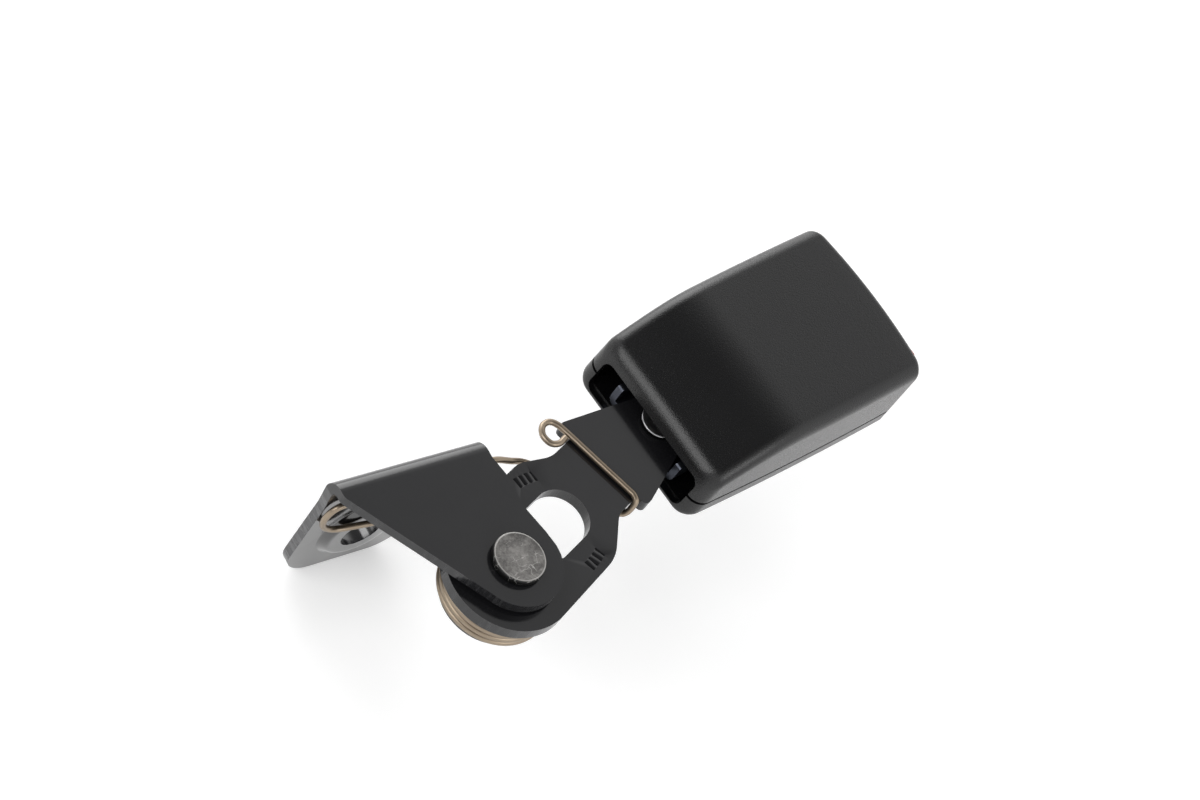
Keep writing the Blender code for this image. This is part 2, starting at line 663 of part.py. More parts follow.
# Frame: a steel channel that the stem is riveted to and that the latch pin crosses.
web_low, web_high = FRAME_UNDER, FRAME_UNDER + FRAME_PLATE
wall_inner = FRAME_HALF - FRAME_PLATE
wall_low, wall_high = 0.4 * MM, 10.0 * MM
wall_outline = filleted([
    (FRAME_BACK, web_low, 0), (FRAME_FRONT, web_low, 0), (FRAME_FRONT, wall_high, 3 * MM),
    (16 * MM, wall_high, 3 * MM), (11 * MM, wall_low, 2 * MM), (FRAME_BACK, wall_low, 1 * MM),
], 3)
frame = add("frame", side_prism(wall_outline, -FRAME_HALF, FRAME_HALF), head_frame)
frame.data.materials.append(zinc_steel)
frame_edge = frame.modifiers.new("corners", "BEVEL")
frame_edge.width = 2.0 * MM
frame_edge.segments = 3
frame_edge.limit_method = "WEIGHT"
weights = frame.data.attributes.new("bevel_weight_edge", "FLOAT", "EDGE")
for edge in frame.data.edges:
    a, b = (frame.data.vertices[i].co for i in edge.vertices)
    lengthwise = abs(a.z - web_low) < 1e-6 and abs(b.z - web_low) < 1e-6 and abs(a.y - b.y) < 1e-6
    weights.data[edge.index].value = 1.0 if lengthwise else 0.0
channel = side_prism([(FRAME_BACK - 5 * MM, web_high), (FRAME_FRONT + 5 * MM, web_high),
                      (FRAME_FRONT + 5 * MM, wall_high + 5 * MM),
                      (FRAME_BACK - 5 * MM, wall_high + 5 * MM)], -wall_inner, wall_inner)
cut(frame, channel, "channel")
cut(frame, drum(BUCKLE_RIVET_RADIUS + GAP, web_low - 2 * MM, web_high + 2 * MM, steps=24), "rivet_bore")
cut(frame, drum(LATCH_PIN_RADIUS + GAP, -FRAME_HALF - 2 * MM, FRAME_HALF + 2 * MM, LATCH_PIN_X,
                LATCH_PIN_Z, steps=20, axis="Y"), "pin_bore")
cut(frame, block((NOSE_BACK - 1.4 * MM, NOSE_FRONT + 1.4 * MM), (-NOSE_HALF - 1 * MM, NOSE_HALF + 1 * MM),
                 (web_low - 2 * MM, web_high + 2 * MM)), "nose_window")
join(frame, block((TAB_X, TAB_X + TAB_THICK), (-4 * MM, 4 * MM), (web_low + 0.5 * MM, 0.6 * MM)),
     "spring_tab")

# Buckle rivet through stem, washer and frame, with its domed head on the stem.
rivet_low = web_low - GAP
buckle_rivet = turned("buckle_rivet", [
    (0, 1.9 * MM), (BUCKLE_RIVET_HEAD - 1.6 * MM, 1.8 * MM), (BUCKLE_RIVET_HEAD - 0.5 * MM, 1.3 * MM),
    (BUCKLE_RIVET_HEAD, 0.7 * MM), (BUCKLE_RIVET_HEAD, 0.2 * MM), (BUCKLE_RIVET_RADIUS, 0.2 * MM),
    (BUCKLE_RIVET_RADIUS, rivet_low), (BUCKLE_RIVET_HEAD - 0.4 * MM, rivet_low),
    (BUCKLE_RIVET_HEAD - 1.4 * MM, rivet_low - 0.7 * MM), (0, rivet_low - 0.8 * MM),
], head_frame, steps=28)
buckle_rivet.data.materials.append(bare_steel)
buckle_washer = ring("buckle_washer", BUCKLE_RIVET_RADIUS + GAP, 7.5 * MM, web_high + 0.2 * MM,
                     -STEM_PLATE - 0.2 * MM, head_frame)
buckle_washer.data.materials.append(nylon)

# Latch: a plate on its pin, with a nose for the tongue's window and ears for the button.
latch_side = filleted([
    (LATCH_PIN_X - 3.4 * MM, LATCH_PIN_Z - 3.1 * MM, 1.5 * MM),
    (NOSE_BACK, LATCH_PIN_Z - 3.1 * MM, 0),
    (NOSE_BACK, web_low + 0.9 * MM, 0.8 * MM), (NOSE_FRONT - 1.2 * MM, web_low + 0.9 * MM, 0.8 * MM),
    (NOSE_FRONT, LATCH_PIN_Z - 3.1 * MM, 0), (EAR_FRONT, LATCH_PIN_Z - 3.1 * MM, 0.4 * MM),
    (EAR_FRONT, LATCH_PIN_Z - 0.7 * MM, 0.6 * MM), (LATCH_PIN_X + 6 * MM, LATCH_PIN_Z - 0.7 * MM, 1 * MM),
    (LATCH_PIN_X + 2.6 * MM, LATCH_PIN_Z + 2.8 * MM, 1.5 * MM),
    (LATCH_PIN_X - 3.4 * MM, LATCH_PIN_Z + 2.8 * MM, 2 * MM),
], 3)
pin_place = Vector((LATCH_PIN_X, 0, LATCH_PIN_Z))
latch_outline = [(x - LATCH_PIN_X, z - LATCH_PIN_Z) for x, z in latch_side]
latch = add("latch", side_prism(latch_outline, -LATCH_HALF, LATCH_HALF), head_frame, pin_place)
latch.data.materials.append(zinc_steel)
for side in (-1, 1):
    y = sorted((side * (NOSE_HALF), side * (LATCH_HALF + 1 * MM)))
    cut(latch, block((NOSE_BACK - LATCH_PIN_X - 2 * MM, NOSE_FRONT - LATCH_PIN_X + 2 * MM), y,
                     (web_low - LATCH_PIN_Z - 1 * MM, -3.3 * MM)), "nose_side")
    y = sorted((side * (LATCH_HALF - 1 * MM), side * EAR_OUT))
    join(latch, block((EAR_BACK - LATCH_PIN_X, EAR_FRONT - LATCH_PIN_X - 0.6 * MM), y,
                      (-3.05 * MM, -0.8 * MM)), "ear")
cut(latch, drum(LATCH_PIN_RADIUS + GAP, -LATCH_HALF - 2 * MM, LATCH_HALF + 2 * MM, 0, 0, steps=20,
                axis="Y"), "pin_bore")
pin = add("latch_pin", drum(LATCH_PIN_RADIUS, -FRAME_HALF - 0.7 * MM, FRAME_HALF + 0.7 * MM, 0, 0,
                            steps=20, axis="Y"), head_frame, pin_place)
pin.data.materials.append(zinc_steel)
latch_top = LATCH_PIN_Z - 0.7 * MM
latch_spring = wire("latch_spring", helix(2.7 * MM, latch_top + 0.6 * MM, seat_low - 0.6 * MM, 5, 10),
                    COIL_WIRE, head_frame, (LATCH_SPRING_X, 0, 0), 1)
latch_spring.data.materials.append(zinc_steel)

# Release button: an end cap with two long arms beside the frame and ramps under the latch's ears.
arm_inner, arm_outer = FRAME_HALF + 1.0 * MM, BUTTON_HALF - 0.2 * MM
button = add("release_button", block((BUTTON_BACK, BUTTON_FRONT), (-BUTTON_HALF, BUTTON_HALF),
                                     (BUTTON_LOW, BUTTON_HIGH)), head_frame)
button.data.materials.append(button_red)
softened(button, 0.6 * MM, segments=2)
ramp_rise = 5.4 * MM
lift_front = BUTTON_BACK + 0.8 * MM
spring_y = (arm_inner + arm_outer) / 2
for side in (-1, 1):
    y = sorted((side * arm_inner, side * arm_outer))
    join(button, block((ARM_BACK, lift_front), y, (3.6 * MM, 10.6 * MM)), "button_arm")
    y = sorted((side * (LATCH_HALF + 0.5 * MM), side * (wall_inner - 0.4 * MM)))
    ear_under = LATCH_PIN_Z - 3.05 * MM
    lift = side_prism([
        (EAR_FRONT + 0.2 * MM, ear_under - 0.75 * MM), (lift_front, ear_under - 0.75 * MM),
        (lift_front, ear_under + ramp_rise), (EAR_FRONT + 5.3 * MM, ear_under + ramp_rise),
    ], *y)
    join(button, lift, "ramp")
    seats = SPRING_RIB_X + SPRING_RIB_THICK + 0.6 * MM, ARM_BACK - 0.6 * MM
    button_spring = wire(
        f"button_spring_{'left' if side > 0 else 'right'}", along_x(helix(2.3 * MM, *seats, 6, 10)),
        COIL_WIRE, head_frame, (0, side * spring_y, 7.2 * MM), 1)
    button_spring.data.materials.append(zinc_steel)

# Ejector: a fork either side of the latch's nose, pushed towards the slot by its spring.
path_low, path_high = web_high + GAP, -1.3 * MM
fork_out = wall_inner - 0.4 * MM
ejector = add("ejector", block((EJECTOR_BACK, EJECTOR_BACK + EJECTOR_BRIDGE), (-fork_out, fork_out),
                               (path_low, path_high)), head_frame)
ejector.data.materials.append(white_acetal)
for side in (-1, 1):
    y = sorted((side * (NOSE_HALF + 1.4 * MM), side * fork_out))
    join(ejector, block((EJECTOR_BACK + 5 * MM, EJECTOR_TIP), y, (path_low, path_high)), "fork")
spring_start, spring_stop = TAB_X + TAB_THICK + 0.5 * MM, EJECTOR_BACK - 0.5 * MM
ejector_spring = wire("ejector_spring", along_x(helix(1.25 * MM, spring_start, spring_stop, 7, 8)),
                      0.25 * MM, head_frame, (0, 0, -2.6 * MM), 1)
ejector_spring.data.materials.append(zinc_steel)
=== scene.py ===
"""A seat belt buckle on its swivelling stem and folded anchor bracket, on white paper in soft light.

Lengths are written in millimetres and turned into metres by MM. Each section makes one piece of
the buckle, in the order in which it is put together.
"""

import json
import math

import bmesh
import bpy
from mathutils import Matrix, Vector
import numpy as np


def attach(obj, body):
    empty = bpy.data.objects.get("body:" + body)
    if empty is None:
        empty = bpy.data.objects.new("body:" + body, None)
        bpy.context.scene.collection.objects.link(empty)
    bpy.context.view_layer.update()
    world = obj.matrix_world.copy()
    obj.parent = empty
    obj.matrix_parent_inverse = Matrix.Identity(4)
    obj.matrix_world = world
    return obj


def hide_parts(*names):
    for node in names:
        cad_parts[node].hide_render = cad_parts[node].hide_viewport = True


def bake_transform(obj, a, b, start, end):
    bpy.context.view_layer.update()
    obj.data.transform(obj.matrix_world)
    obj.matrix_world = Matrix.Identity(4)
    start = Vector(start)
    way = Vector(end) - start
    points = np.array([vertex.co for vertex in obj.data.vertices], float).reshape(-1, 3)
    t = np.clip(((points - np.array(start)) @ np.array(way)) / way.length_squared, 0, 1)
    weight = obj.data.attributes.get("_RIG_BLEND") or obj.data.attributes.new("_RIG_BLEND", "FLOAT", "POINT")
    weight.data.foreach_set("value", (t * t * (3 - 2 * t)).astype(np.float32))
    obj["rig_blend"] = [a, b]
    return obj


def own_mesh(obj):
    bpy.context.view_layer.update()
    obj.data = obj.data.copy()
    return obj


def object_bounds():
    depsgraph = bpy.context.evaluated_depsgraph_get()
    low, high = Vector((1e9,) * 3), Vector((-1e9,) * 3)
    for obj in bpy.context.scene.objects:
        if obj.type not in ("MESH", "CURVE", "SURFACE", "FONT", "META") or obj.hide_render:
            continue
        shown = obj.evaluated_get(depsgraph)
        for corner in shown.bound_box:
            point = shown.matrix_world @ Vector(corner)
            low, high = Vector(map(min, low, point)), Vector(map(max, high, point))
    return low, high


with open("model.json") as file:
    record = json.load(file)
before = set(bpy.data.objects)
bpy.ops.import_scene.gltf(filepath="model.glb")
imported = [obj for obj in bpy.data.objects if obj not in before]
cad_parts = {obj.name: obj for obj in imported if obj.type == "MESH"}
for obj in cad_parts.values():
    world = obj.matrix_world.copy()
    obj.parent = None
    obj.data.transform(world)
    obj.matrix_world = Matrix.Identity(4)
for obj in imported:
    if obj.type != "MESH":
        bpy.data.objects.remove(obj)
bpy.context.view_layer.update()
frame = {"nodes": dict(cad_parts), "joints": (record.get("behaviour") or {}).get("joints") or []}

# Anchor bracket: 3 mm steel strip, blanked and folded in a press, with a ring pressed round its
# bolt hole. It is dipped in black coat, which is thin on the sheared edges.
MM = 0.001
PLATE, PLATE_EASE = 3.0 * MM, 0.42 * MM
BRACKET_TURN = math.radians(-9)
ARM_UNDER, FOLD_INNER_RADIUS, FOLD_REACH = 1.1 * MM, 2.0 * MM, 36.3 * MM
FOLD_LEFT, FOLD_RIGHT, FOOT_DEPTH = -37.5 * MM, 8.7 * MM, 46.7 * MM
BOLT_HOLE_X, BOLT_HOLE_DROP = -18.3 * MM, 26.2 * MM
ARM_END_RADIUS, ARM_EDGE, RIVET_HOLE_RADIUS = 13.3 * MM, 10.2 * MM, 5.3 * MM
BOLT_RING = ((12.3, 0), (11.9, 0.12), (11.4, 0.5), (10.6, 1.25), (10.1, 1.65), (9.6, 1.85),
             (9.0, 1.9), (7.6, 1.9), (5.9, 1.9))
BOLT_SEAT_RADIUS, BOLT_SEAT_DEPTH_KEPT = 9.8 * MM, 0.35

pivot = Vector(next(j["pos_m"] for j in frame["joints"] if j["name"] == "stem_swivel"))
at_bracket = Matrix.Translation(pivot) @ Matrix.Rotation(BRACKET_TURN, 4, "Z")


class Signal:
    """A socket in a finish's node tree, so that shader maths reads as plain arithmetic."""

    def __init__(self, tree, socket=None):
        self.tree, self.socket = tree, socket

    def node(self, kind, settings=None, inputs=None, output=0):
        """Adds a node: its settings first, then values or links by socket. Returns one output."""
        made = self.tree.nodes.new(kind)
        for name, value in (settings or {}).items():
            setattr(made, name, value)
        for name, value in (inputs or {}).items():
            if isinstance(value, Signal):
                self.tree.links.new(value.socket, made.inputs[name])
            elif isinstance(value, tuple) and made.inputs[name].type == "RGBA":
                made.inputs[name].default_value = (*value, 1)
            else:
                made.inputs[name].default_value = value
        return Signal(self.tree, made.outputs[output])

    def math(self, operation, *values):
        return self.node("ShaderNodeMath", {"operation": operation}, dict(enumerate(values)))

    def __add__(self, other):
        return self.math("ADD", self, other)

    def __radd__(self, other):
        return self.math("ADD", other, self)

    def __sub__(self, other):
        return self.math("SUBTRACT", self, other)

    def __rsub__(self, other):
        return self.math("SUBTRACT", other, self)

    def __mul__(self, other):
        return self.math("MULTIPLY", self, other)

    def __rmul__(self, other):
        return self.math("MULTIPLY", other, self)

    def clamped(self):
        return self.math("MINIMUM", self.math("MAXIMUM", self, 0.0), 1.0)

    def stepped(self, low, high):
        """0 below low and 1 above high, with a soft step between them."""
        return self.node("ShaderNodeMapRange", {"interpolation_type": "SMOOTHSTEP"},
                         {"Value": self, "From Min": low, "From Max": high})

    def blend(self, one, other):
        """From one colour to the other as this value goes from 0 to 1."""
        return self.node("ShaderNodeMix", {"data_type": "RGBA"}, {0: self, 6: one, 7: other}, 2)


def finish(name, metallic=0.0):
    """A new material: its shader, and a Signal that adds nodes to it."""
    made = bpy.data.materials.new(name)
    made.use_nodes = True
    shader = made.node_tree.nodes["Principled BSDF"]
    shader.inputs["Metallic"].default_value = metallic
    return made, shader, Signal(made.node_tree)


def feed(shader, **signals):
    """Links signals to the shader's sockets, named with _ for the space."""
    for name, signal in signals.items():
        signal.tree.links.new(signal.socket, shader.inputs[name.replace("_", " ").title()])


def grain(mix, scale, detail=2.0, roughness=0.5, stretch=(1, 1, 1)):
    """Noise over the piece, as fine as scale is large."""
    where = mix.node("ShaderNodeTexCoord", output="Object")
    if stretch != (1, 1, 1):
        where = mix.node("ShaderNodeVectorMath", {"operation": "MULTIPLY"}, {0: where, 1: stretch})
    return mix.node("ShaderNodeTexNoise", {}, {
        "Vector": where, "Scale": scale, "Detail": detail, "Roughness": roughness}, "Fac")


def relief(mix, height, depth, strength=1.0, under=None):
    """A bump of that depth, in metres."""
    inputs = {"Height": height, "Distance": depth, "Strength": strength}
    if under is not None:
        inputs["Normal"] = under
    return mix.node("ShaderNodeBump", {}, inputs)


def rounded_edge_mask(mix):
    """1 along the middle of each rounded edge, 0 on the flats."""
    return mix.node("ShaderNodeAttribute", {"attribute_name": "edge"}, output="Fac")


def arc(x, y, radius, start, end, steps):
    """Points of an arc, angles in degrees."""
    turns = [math.radians(start + (end - start) * i / steps) for i in range(steps + 1)]
    return [(x + radius * math.cos(a), y + radius * math.sin(a)) for a in turns]


def circle(x, y, radius, steps=48):
    """Points of a full circle."""
    return arc(x, y, radius, 0, 360 - 360 / steps, steps - 1)


def filleted(corners, steps=8):
    """An outline from (x, y, radius) corners, each rounded to its radius."""
    outline = []
    for i, (x, y, radius) in enumerate(corners):
        here = Vector((x, y))
        before = (Vector(corners[i - 1][:2]) - here).normalized()
        after = (Vector(corners[(i + 1) % len(corners)][:2]) - here).normalized()
        half = before.angle(after) / 2
        if radius <= 0 or half > math.radians(89):
            outline.append((x, y))
            continue
        reach = radius / math.tan(half)
        middle = here + (before + after).normalized() * (radius / math.sin(half))
        first, last = here + before * reach - middle, here + after * reach - middle
        sweep = first.angle_signed(last)
        for k in range(steps + 1):
            outline.append(tuple(middle + Matrix.Rotation(-sweep * k / steps, 2) @ first))
    return outline


def new_piece():
    """An empty bmesh with layers that mark rounded edges, for wear and a painted rim highlight, and sheared
    walls, and number a ring.
    """
    bm = bmesh.new()
    bm.verts.layers.float.new("edge")
    bm.verts.layers.float.new("sheared")
    bm.verts.layers.int.new("order")
    return bm


def loop(bm, outline):
    """A closed loop of edges through the outline's points."""
    verts = [bm.verts.new((x, y, 0)) for x, y in outline]
    return [bm.edges.new(pair) for pair in zip(verts, verts[1:] + verts[:1])]


def verts_of(edges):
    return list({v for e in edges for v in e.verts})


def drawn(bm, edges, move=(0, 0, 0), scale=None, middle=(0, 0, 0)):
    """Draws a loop of edges out to a new loop, moved and scaled about a middle."""
    made = bmesh.ops.extrude_edge_only(bm, edges=edges)["geom"]
    verts = {v for v in made if isinstance(v, bmesh.types.BMVert)}
    new = [e for e in made if isinstance(e, bmesh.types.BMEdge) and verts.issuperset(e.verts)]
    verts = list(verts)
    bmesh.ops.translate(bm, verts=verts, vec=move)
    if scale is not None:
        bmesh.ops.scale(bm, verts=verts, vec=(scale, scale, 1),
                        space=Matrix.Translation(-Vector(middle)))
    return new


def sharp_edges(bm, angle, keep=lambda edge: True):
    """The edges that turn by more than the angle, in degrees."""
    return [e for e in bm.edges
            if e.is_manifold and e.calc_face_angle(0) > math.radians(angle) and keep(e)]


def eased(bm, edges, width, segments=4):
    """Rounds edges and marks the middle of each rounding, where a coat wears first and where a rim highlight
    is painted.
    """
    worn = bm.verts.layers.float["edge"]
    made = bmesh.ops.bevel(bm, geom=edges, offset=width, offset_type="OFFSET", segments=segments,
                           profile=0.5, affect="EDGES", clamp_overlap=True, material=-1)
    round_faces = set(made["faces"])
    for v in made["verts"]:
        if all(f in round_faces for f in v.link_faces):
            v[worn] = 1.0


def place(name, bm, matrix, body, material, replaces, weighted=True):
    """Makes a piece of a bmesh: in its place, with its finish, riding on its body.

    A piece that bends between two bodies is given None, and is blended after it is placed.
    """
    bmesh.ops.recalc_face_normals(bm, faces=bm.faces[:])
    bm.transform(matrix)
    mesh = bpy.data.meshes.new(name)
    bm.to_mesh(mesh)
    bm.free()
    mesh.shade_smooth()
    if weighted:
        normals = [Vector() for v in mesh.vertices]
        for face in mesh.polygons:
            for i in face.vertices:
                normals[i] += face.normal * face.area
        mesh.normals_split_custom_set_from_vertices([n.normalized() for n in normals])
    else:
        mesh.set_sharp_from_angle(angle=math.radians(32))
    mesh.materials.append(material)
    made = bpy.data.objects.new(name, mesh)
    bpy.context.scene.collection.objects.link(made)
    if body:
        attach(made, body)
    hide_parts(*replaces)
    return made


def sheared_coat():
    """A black dip coat on steel, satin and only a film deep: worn grey in patches on edges, paler along
    every rounding as a painted rim highlight, and barely there over sheared drag lines.
    """
    made, shader, mix = finish("sheared_coat")
    peel = grain(mix, 900, 3)
    cloud = grain(mix, 60, 4, 0.6)
    patches = grain(mix, 800, 3, 0.6).stepped(0.40, 0.66)
    rounding = rounded_edge_mask(mix)
    worn = (rounding * patches).clamped()
    side = mix.node("ShaderNodeAttribute", {"attribute_name": "sheared"}, output="Fac")
    height = mix.node("ShaderNodeSeparateXYZ", {}, {
        "Vector": mix.node("ShaderNodeTexCoord", output="Object")}, "Z")
    foot = 1 - height.stepped(pivot.z - 5.6 * MM, pivot.z - 4.4 * MM)
    along, across = (grain(mix, 620, 4, 0.6, stretch) for stretch in ((1, 0.12, 1), (1, 1, 0.12)))
    drag = (foot * along + (1 - foot) * across).stepped(0.44, 0.72)
    coat = cloud.blend((0.005, 0.005, 0.006), (0.010, 0.010, 0.011))
    # Paler where the coat is sparse on sheared walls and worn in patches on edges; the even lift along every
    # rounding is a painted rim highlight.
    thin_worn_and_highlit = (side * (0.03 + foot * 0.30 + drag * (0.12 + foot * 0.28)) + worn * 0.45
            + rounding * 0.20).clamped()
    feed(shader, base_color=thin_worn_and_highlit.blend(coat, (0.15, 0.15, 0.155)),
         roughness=0.10 + cloud * 0.09 + thin_worn_and_highlit * 0.35)
    feed(shader, normal=relief(mix, drag * side, 0.00006, 0.6, relief(mix, peel, 0.00002, 0.4)))
    feed(shader, coat_weight=foot * (1 - side) * 0.9)
    shader.inputs["Coat IOR"].default_value = 1.8
    shader.inputs["Coat Roughness"].default_value = 0.15
    shader.inputs["Sheen Weight"].default_value = 0.10
    shader.inputs["Sheen Roughness"].default_value = 0.3
    return made


ARM_TOP = ARM_UNDER + PLATE
fold_outer = FOLD_INNER_RADIUS + PLATE
fold_y, fold_z = FOLD_REACH - fold_outer, ARM_TOP - fold_outer
fold_length = (FOLD_INNER_RADIUS + PLATE / 2) * math.pi / 2
foot_end = fold_length + FOOT_DEPTH - fold_outer
foot_left, foot_right = BOLT_HOLE_X - 18.0 * MM, BOLT_HOLE_X + 18.6 * MM
hole_along = fold_length + BOLT_HOLE_DROP + fold_z


def blank_outline():
    """The flat blank from the arm's round end to the foot's bottom edge."""
    leaves_round_end = math.degrees(math.atan2(-20, -35)) + 360
    lower = [(x, y - fold_y, 0) for x, y in arc(0, 0, ARM_END_RADIUS, leaves_round_end, 366, 40)]
    right = [
        (12.4 * MM, 5.6 * MM - fold_y, 0), (ARM_EDGE, 13.5 * MM - fold_y, 5 * MM),
        (ARM_EDGE, 23.4 * MM - fold_y, 7 * MM), (FOLD_RIGHT, 29.4 * MM - fold_y, 7 * MM),
        (FOLD_RIGHT, fold_length + 3 * MM, 4 * MM), (foot_right + 2 * MM, foot_end - 14 * MM, 10 * MM),
        (foot_right - 2 * MM, foot_end, 9 * MM),
    ]
    left = [
        (foot_left, foot_end + 1.2 * MM, 10 * MM), (foot_left - 0.2 * MM, fold_length + 8 * MM, 2 * MM),
        (FOLD_LEFT, fold_length, 2 * MM), (FOLD_LEFT, -1.5 * MM, 3 * MM),
    ]
    return filleted(lower + right + left)


def folded(bm):
    """Bends what lies past the fold's line down by a right angle."""
    for k in range(17):
        bmesh.ops.bisect_plane(bm, geom=bm.verts[:] + bm.edges[:] + bm.faces[:], dist=1e-8,
                               plane_co=(0, fold_length * k / 16, 0), plane_no=(0, 1, 0))
    for v in bm.verts:
        along, under = v.co.y, -v.co.z
        if along <= 0:
            v.co = (v.co.x, fold_y + along, ARM_TOP - under)
            continue
        angle = min(along / fold_length, 1) * math.pi / 2
        past = max(along - fold_length, 0)
        radius = fold_outer - under
        v.co = (v.co.x, fold_y + radius * math.sin(angle), fold_z + radius * math.cos(angle) - past)


def marked_walls(bm, keep=lambda v: True):
    """Marks the sheared walls of a flat plate whose edges are already rounded."""
    sheared = bm.verts.layers.float["sheared"]
    bm.normal_update()
    for face in bm.faces:
        heights = [v.co.z for v in face.verts]
        if abs(face.normal.z) < 0.01 and max(heights) - min(heights) > 1 * MM:
            for v in filter(keep, face.verts):
                v[sheared] = 1.0


def from_bolt_hole(v):
    """How far a vertex of the flat blank lies from the middle of the bolt hole."""
    return (v.co.xy - Vector((BOLT_HOLE_X, hole_along))).length


def on_a_plate_edge(edge):
    """True for an edge between a wall and a face, and for the creases of the pressed ring."""
    slopes = [abs(f.normal.z) for f in edge.link_faces]
    return min(slopes) >= 0.1 or max(slopes) > 0.5


blank = new_piece()
rim = loop(blank, blank_outline())
ring = loop(blank, circle(BOLT_HOLE_X, hole_along, BOLT_RING[0][0] * MM, 72))
bore = loop(blank, circle(0, -fold_y, RIVET_HOLE_RADIUS))
bmesh.ops.triangle_fill(blank, use_beauty=True, edges=rim + ring + bore)
for (radius, _), (next_radius, drop) in zip(BOLT_RING, BOLT_RING[1:]):
    ring = drawn(blank, ring, scale=next_radius / radius, middle=(BOLT_HOLE_X, hole_along, 0))
    for v in verts_of(ring):
        v.co.z = -drop * MM
outer_face = blank.verts[:]
lowered = bmesh.ops.extrude_face_region(blank, geom=blank.faces[:], use_keep_orig=True)["geom"]
bmesh.ops.translate(blank, verts=[v for v in lowered if isinstance(v, bmesh.types.BMVert)],
                    vec=(0, 0, -PLATE))
for v in outer_face:
    if from_bolt_hole(v) < BOLT_SEAT_RADIUS:
        v.co.z *= BOLT_SEAT_DEPTH_KEPT
bmesh.ops.recalc_face_normals(blank, faces=blank.faces[:])
eased(blank, sharp_edges(blank, 60, on_a_plate_edge), PLATE_EASE)
marked_walls(blank, lambda v: from_bolt_hole(v) > 8 * MM)
folded(blank)
black_coat = sheared_coat()
place("bracket", blank, at_bracket, "anchor", black_coat, replaces=["anchor_bracket"])

# Pivot washer, buckle washer and spring spool: black nylon turnings. The thin washers keep the arm
# and the frame off the stem, and the drum below the stem carries the spring's coil on its flange.
SPOOL_TOP, SPOOL_LOW, SPOOL_RADIUS, FLANGE_RADIUS = -4.1, -15.0, 13.9, 14.25
nylon, shader, mix = finish("nylon")
cloud = grain(mix, 300, 3)
feed(shader, base_color=cloud.blend((0.018, 0.018, 0.019), (0.034, 0.034, 0.036)),
     roughness=0.42 + cloud * 0.16)
feed(shader, normal=relief(mix, grain(mix, 2600, 2), 0.00002, 0.5))


def refinish(node, material):
    """Gives a node of the frame its finish."""
    piece = frame["nodes"][node]
    piece.data.materials.clear()
    piece.data.materials.append(material)
    piece.data.shade_smooth()
    piece.data.set_sharp_from_angle(angle=math.radians(30))


refinish("pivot_washer", nylon)


def spun(profile):
    """A turned bmesh from a (radius, height) profile in millimetres."""
    bm = new_piece()
    verts = [bm.verts.new((r * MM, 0, z * MM)) for r, z in profile]
    edges = [bm.edges.new(pair) for pair in zip(verts, verts[1:])]
    bmesh.ops.spin(bm, geom=verts + edges, cent=(0, 0, 0), axis=(0, 0, 1), angle=2 * math.pi,
                   steps=96, use_merge=True, use_duplicate=False)
    bmesh.ops.remove_doubles(bm, verts=bm.verts[:], dist=1e-7)
    return bm


spool_bore = RIVET_HOLE_RADIUS / MM
spool_profile = [
    (spool_bore, SPOOL_TOP), (SPOOL_RADIUS - 0.5, SPOOL_TOP), (SPOOL_RADIUS - 0.15, SPOOL_TOP - 0.15),
    (SPOOL_RADIUS, SPOOL_TOP - 0.5), (SPOOL_RADIUS, SPOOL_LOW + 1.1),
    (FLANGE_RADIUS - 0.1, SPOOL_LOW + 0.95), (FLANGE_RADIUS, SPOOL_LOW + 0.7),
    (FLANGE_RADIUS, SPOOL_LOW + 0.3), (FLANGE_RADIUS - 0.15, SPOOL_LOW + 0.05),
    (SPOOL_RADIUS, SPOOL_LOW), (spool_bore, SPOOL_LOW), (spool_bore, SPOOL_TOP),
]
place("nylon_spool", spun(spool_profile), at_bracket, "anchor", nylon, weighted=False,
      replaces=["spring_spool"])
refinish("buckle_washer", nylon)

# Spool washer: a steel disc, blanked and zinc-plated. It lies under the spool, and the pivot
# rivet's tail is peened against it.
zinc, shader, mix = finish("zinc_plate", metallic=1.0)
cloud = grain(mix, 240, 4, 0.6)
spots = grain(mix, 1500, 3, 0.6)
feed(shader, base_color=cloud.blend((0.30, 0.32, 0.36), (0.46, 0.49, 0.54)),
     roughness=0.30 + spots * 0.18)
feed(shader, normal=relief(mix, spots, 0.00002, 0.5))
refinish("spool_washer", zinc)

# Torsion spring: one length of 1.8 mm drawn spring wire, wound round the spool and hooked over the
# stem's neck, so that the buckle stands up to the hand.
WIRE_RADIUS = 0.9 * MM
COIL_RADIUS, COIL_TURNS, COIL_PITCH = 15.1 * MM, 4.0, 1.9 * MM
COIL_TOP_GAP, COIL_STEPS = 0.5 * MM, 72
STEM_PLATE, STEM_TURN = 3.8 * MM, math.radians(14.1)
NECK_END, NECK_HALF, EAR_HALF, NECK_OFFSET = 46.5 * MM, 11.6 * MM, 15.6 * MM, 1.8 * MM
BEND_START, BEND_END = 17, 37.5


def in_bracket(x, y, z):
    """A place on the turned bracket, in millimetres from the pivot."""
    return Matrix.Rotation(BRACKET_TURN, 3, "Z") @ Vector((x * MM, y * MM, z * MM))


def in_stem(x, y, z):
    """A place on the turned stem, in millimetres from the pivot."""
    return Matrix.Rotation(STEM_TURN, 3, "Z") @ Vector((x * MM, y * MM, z * MM))


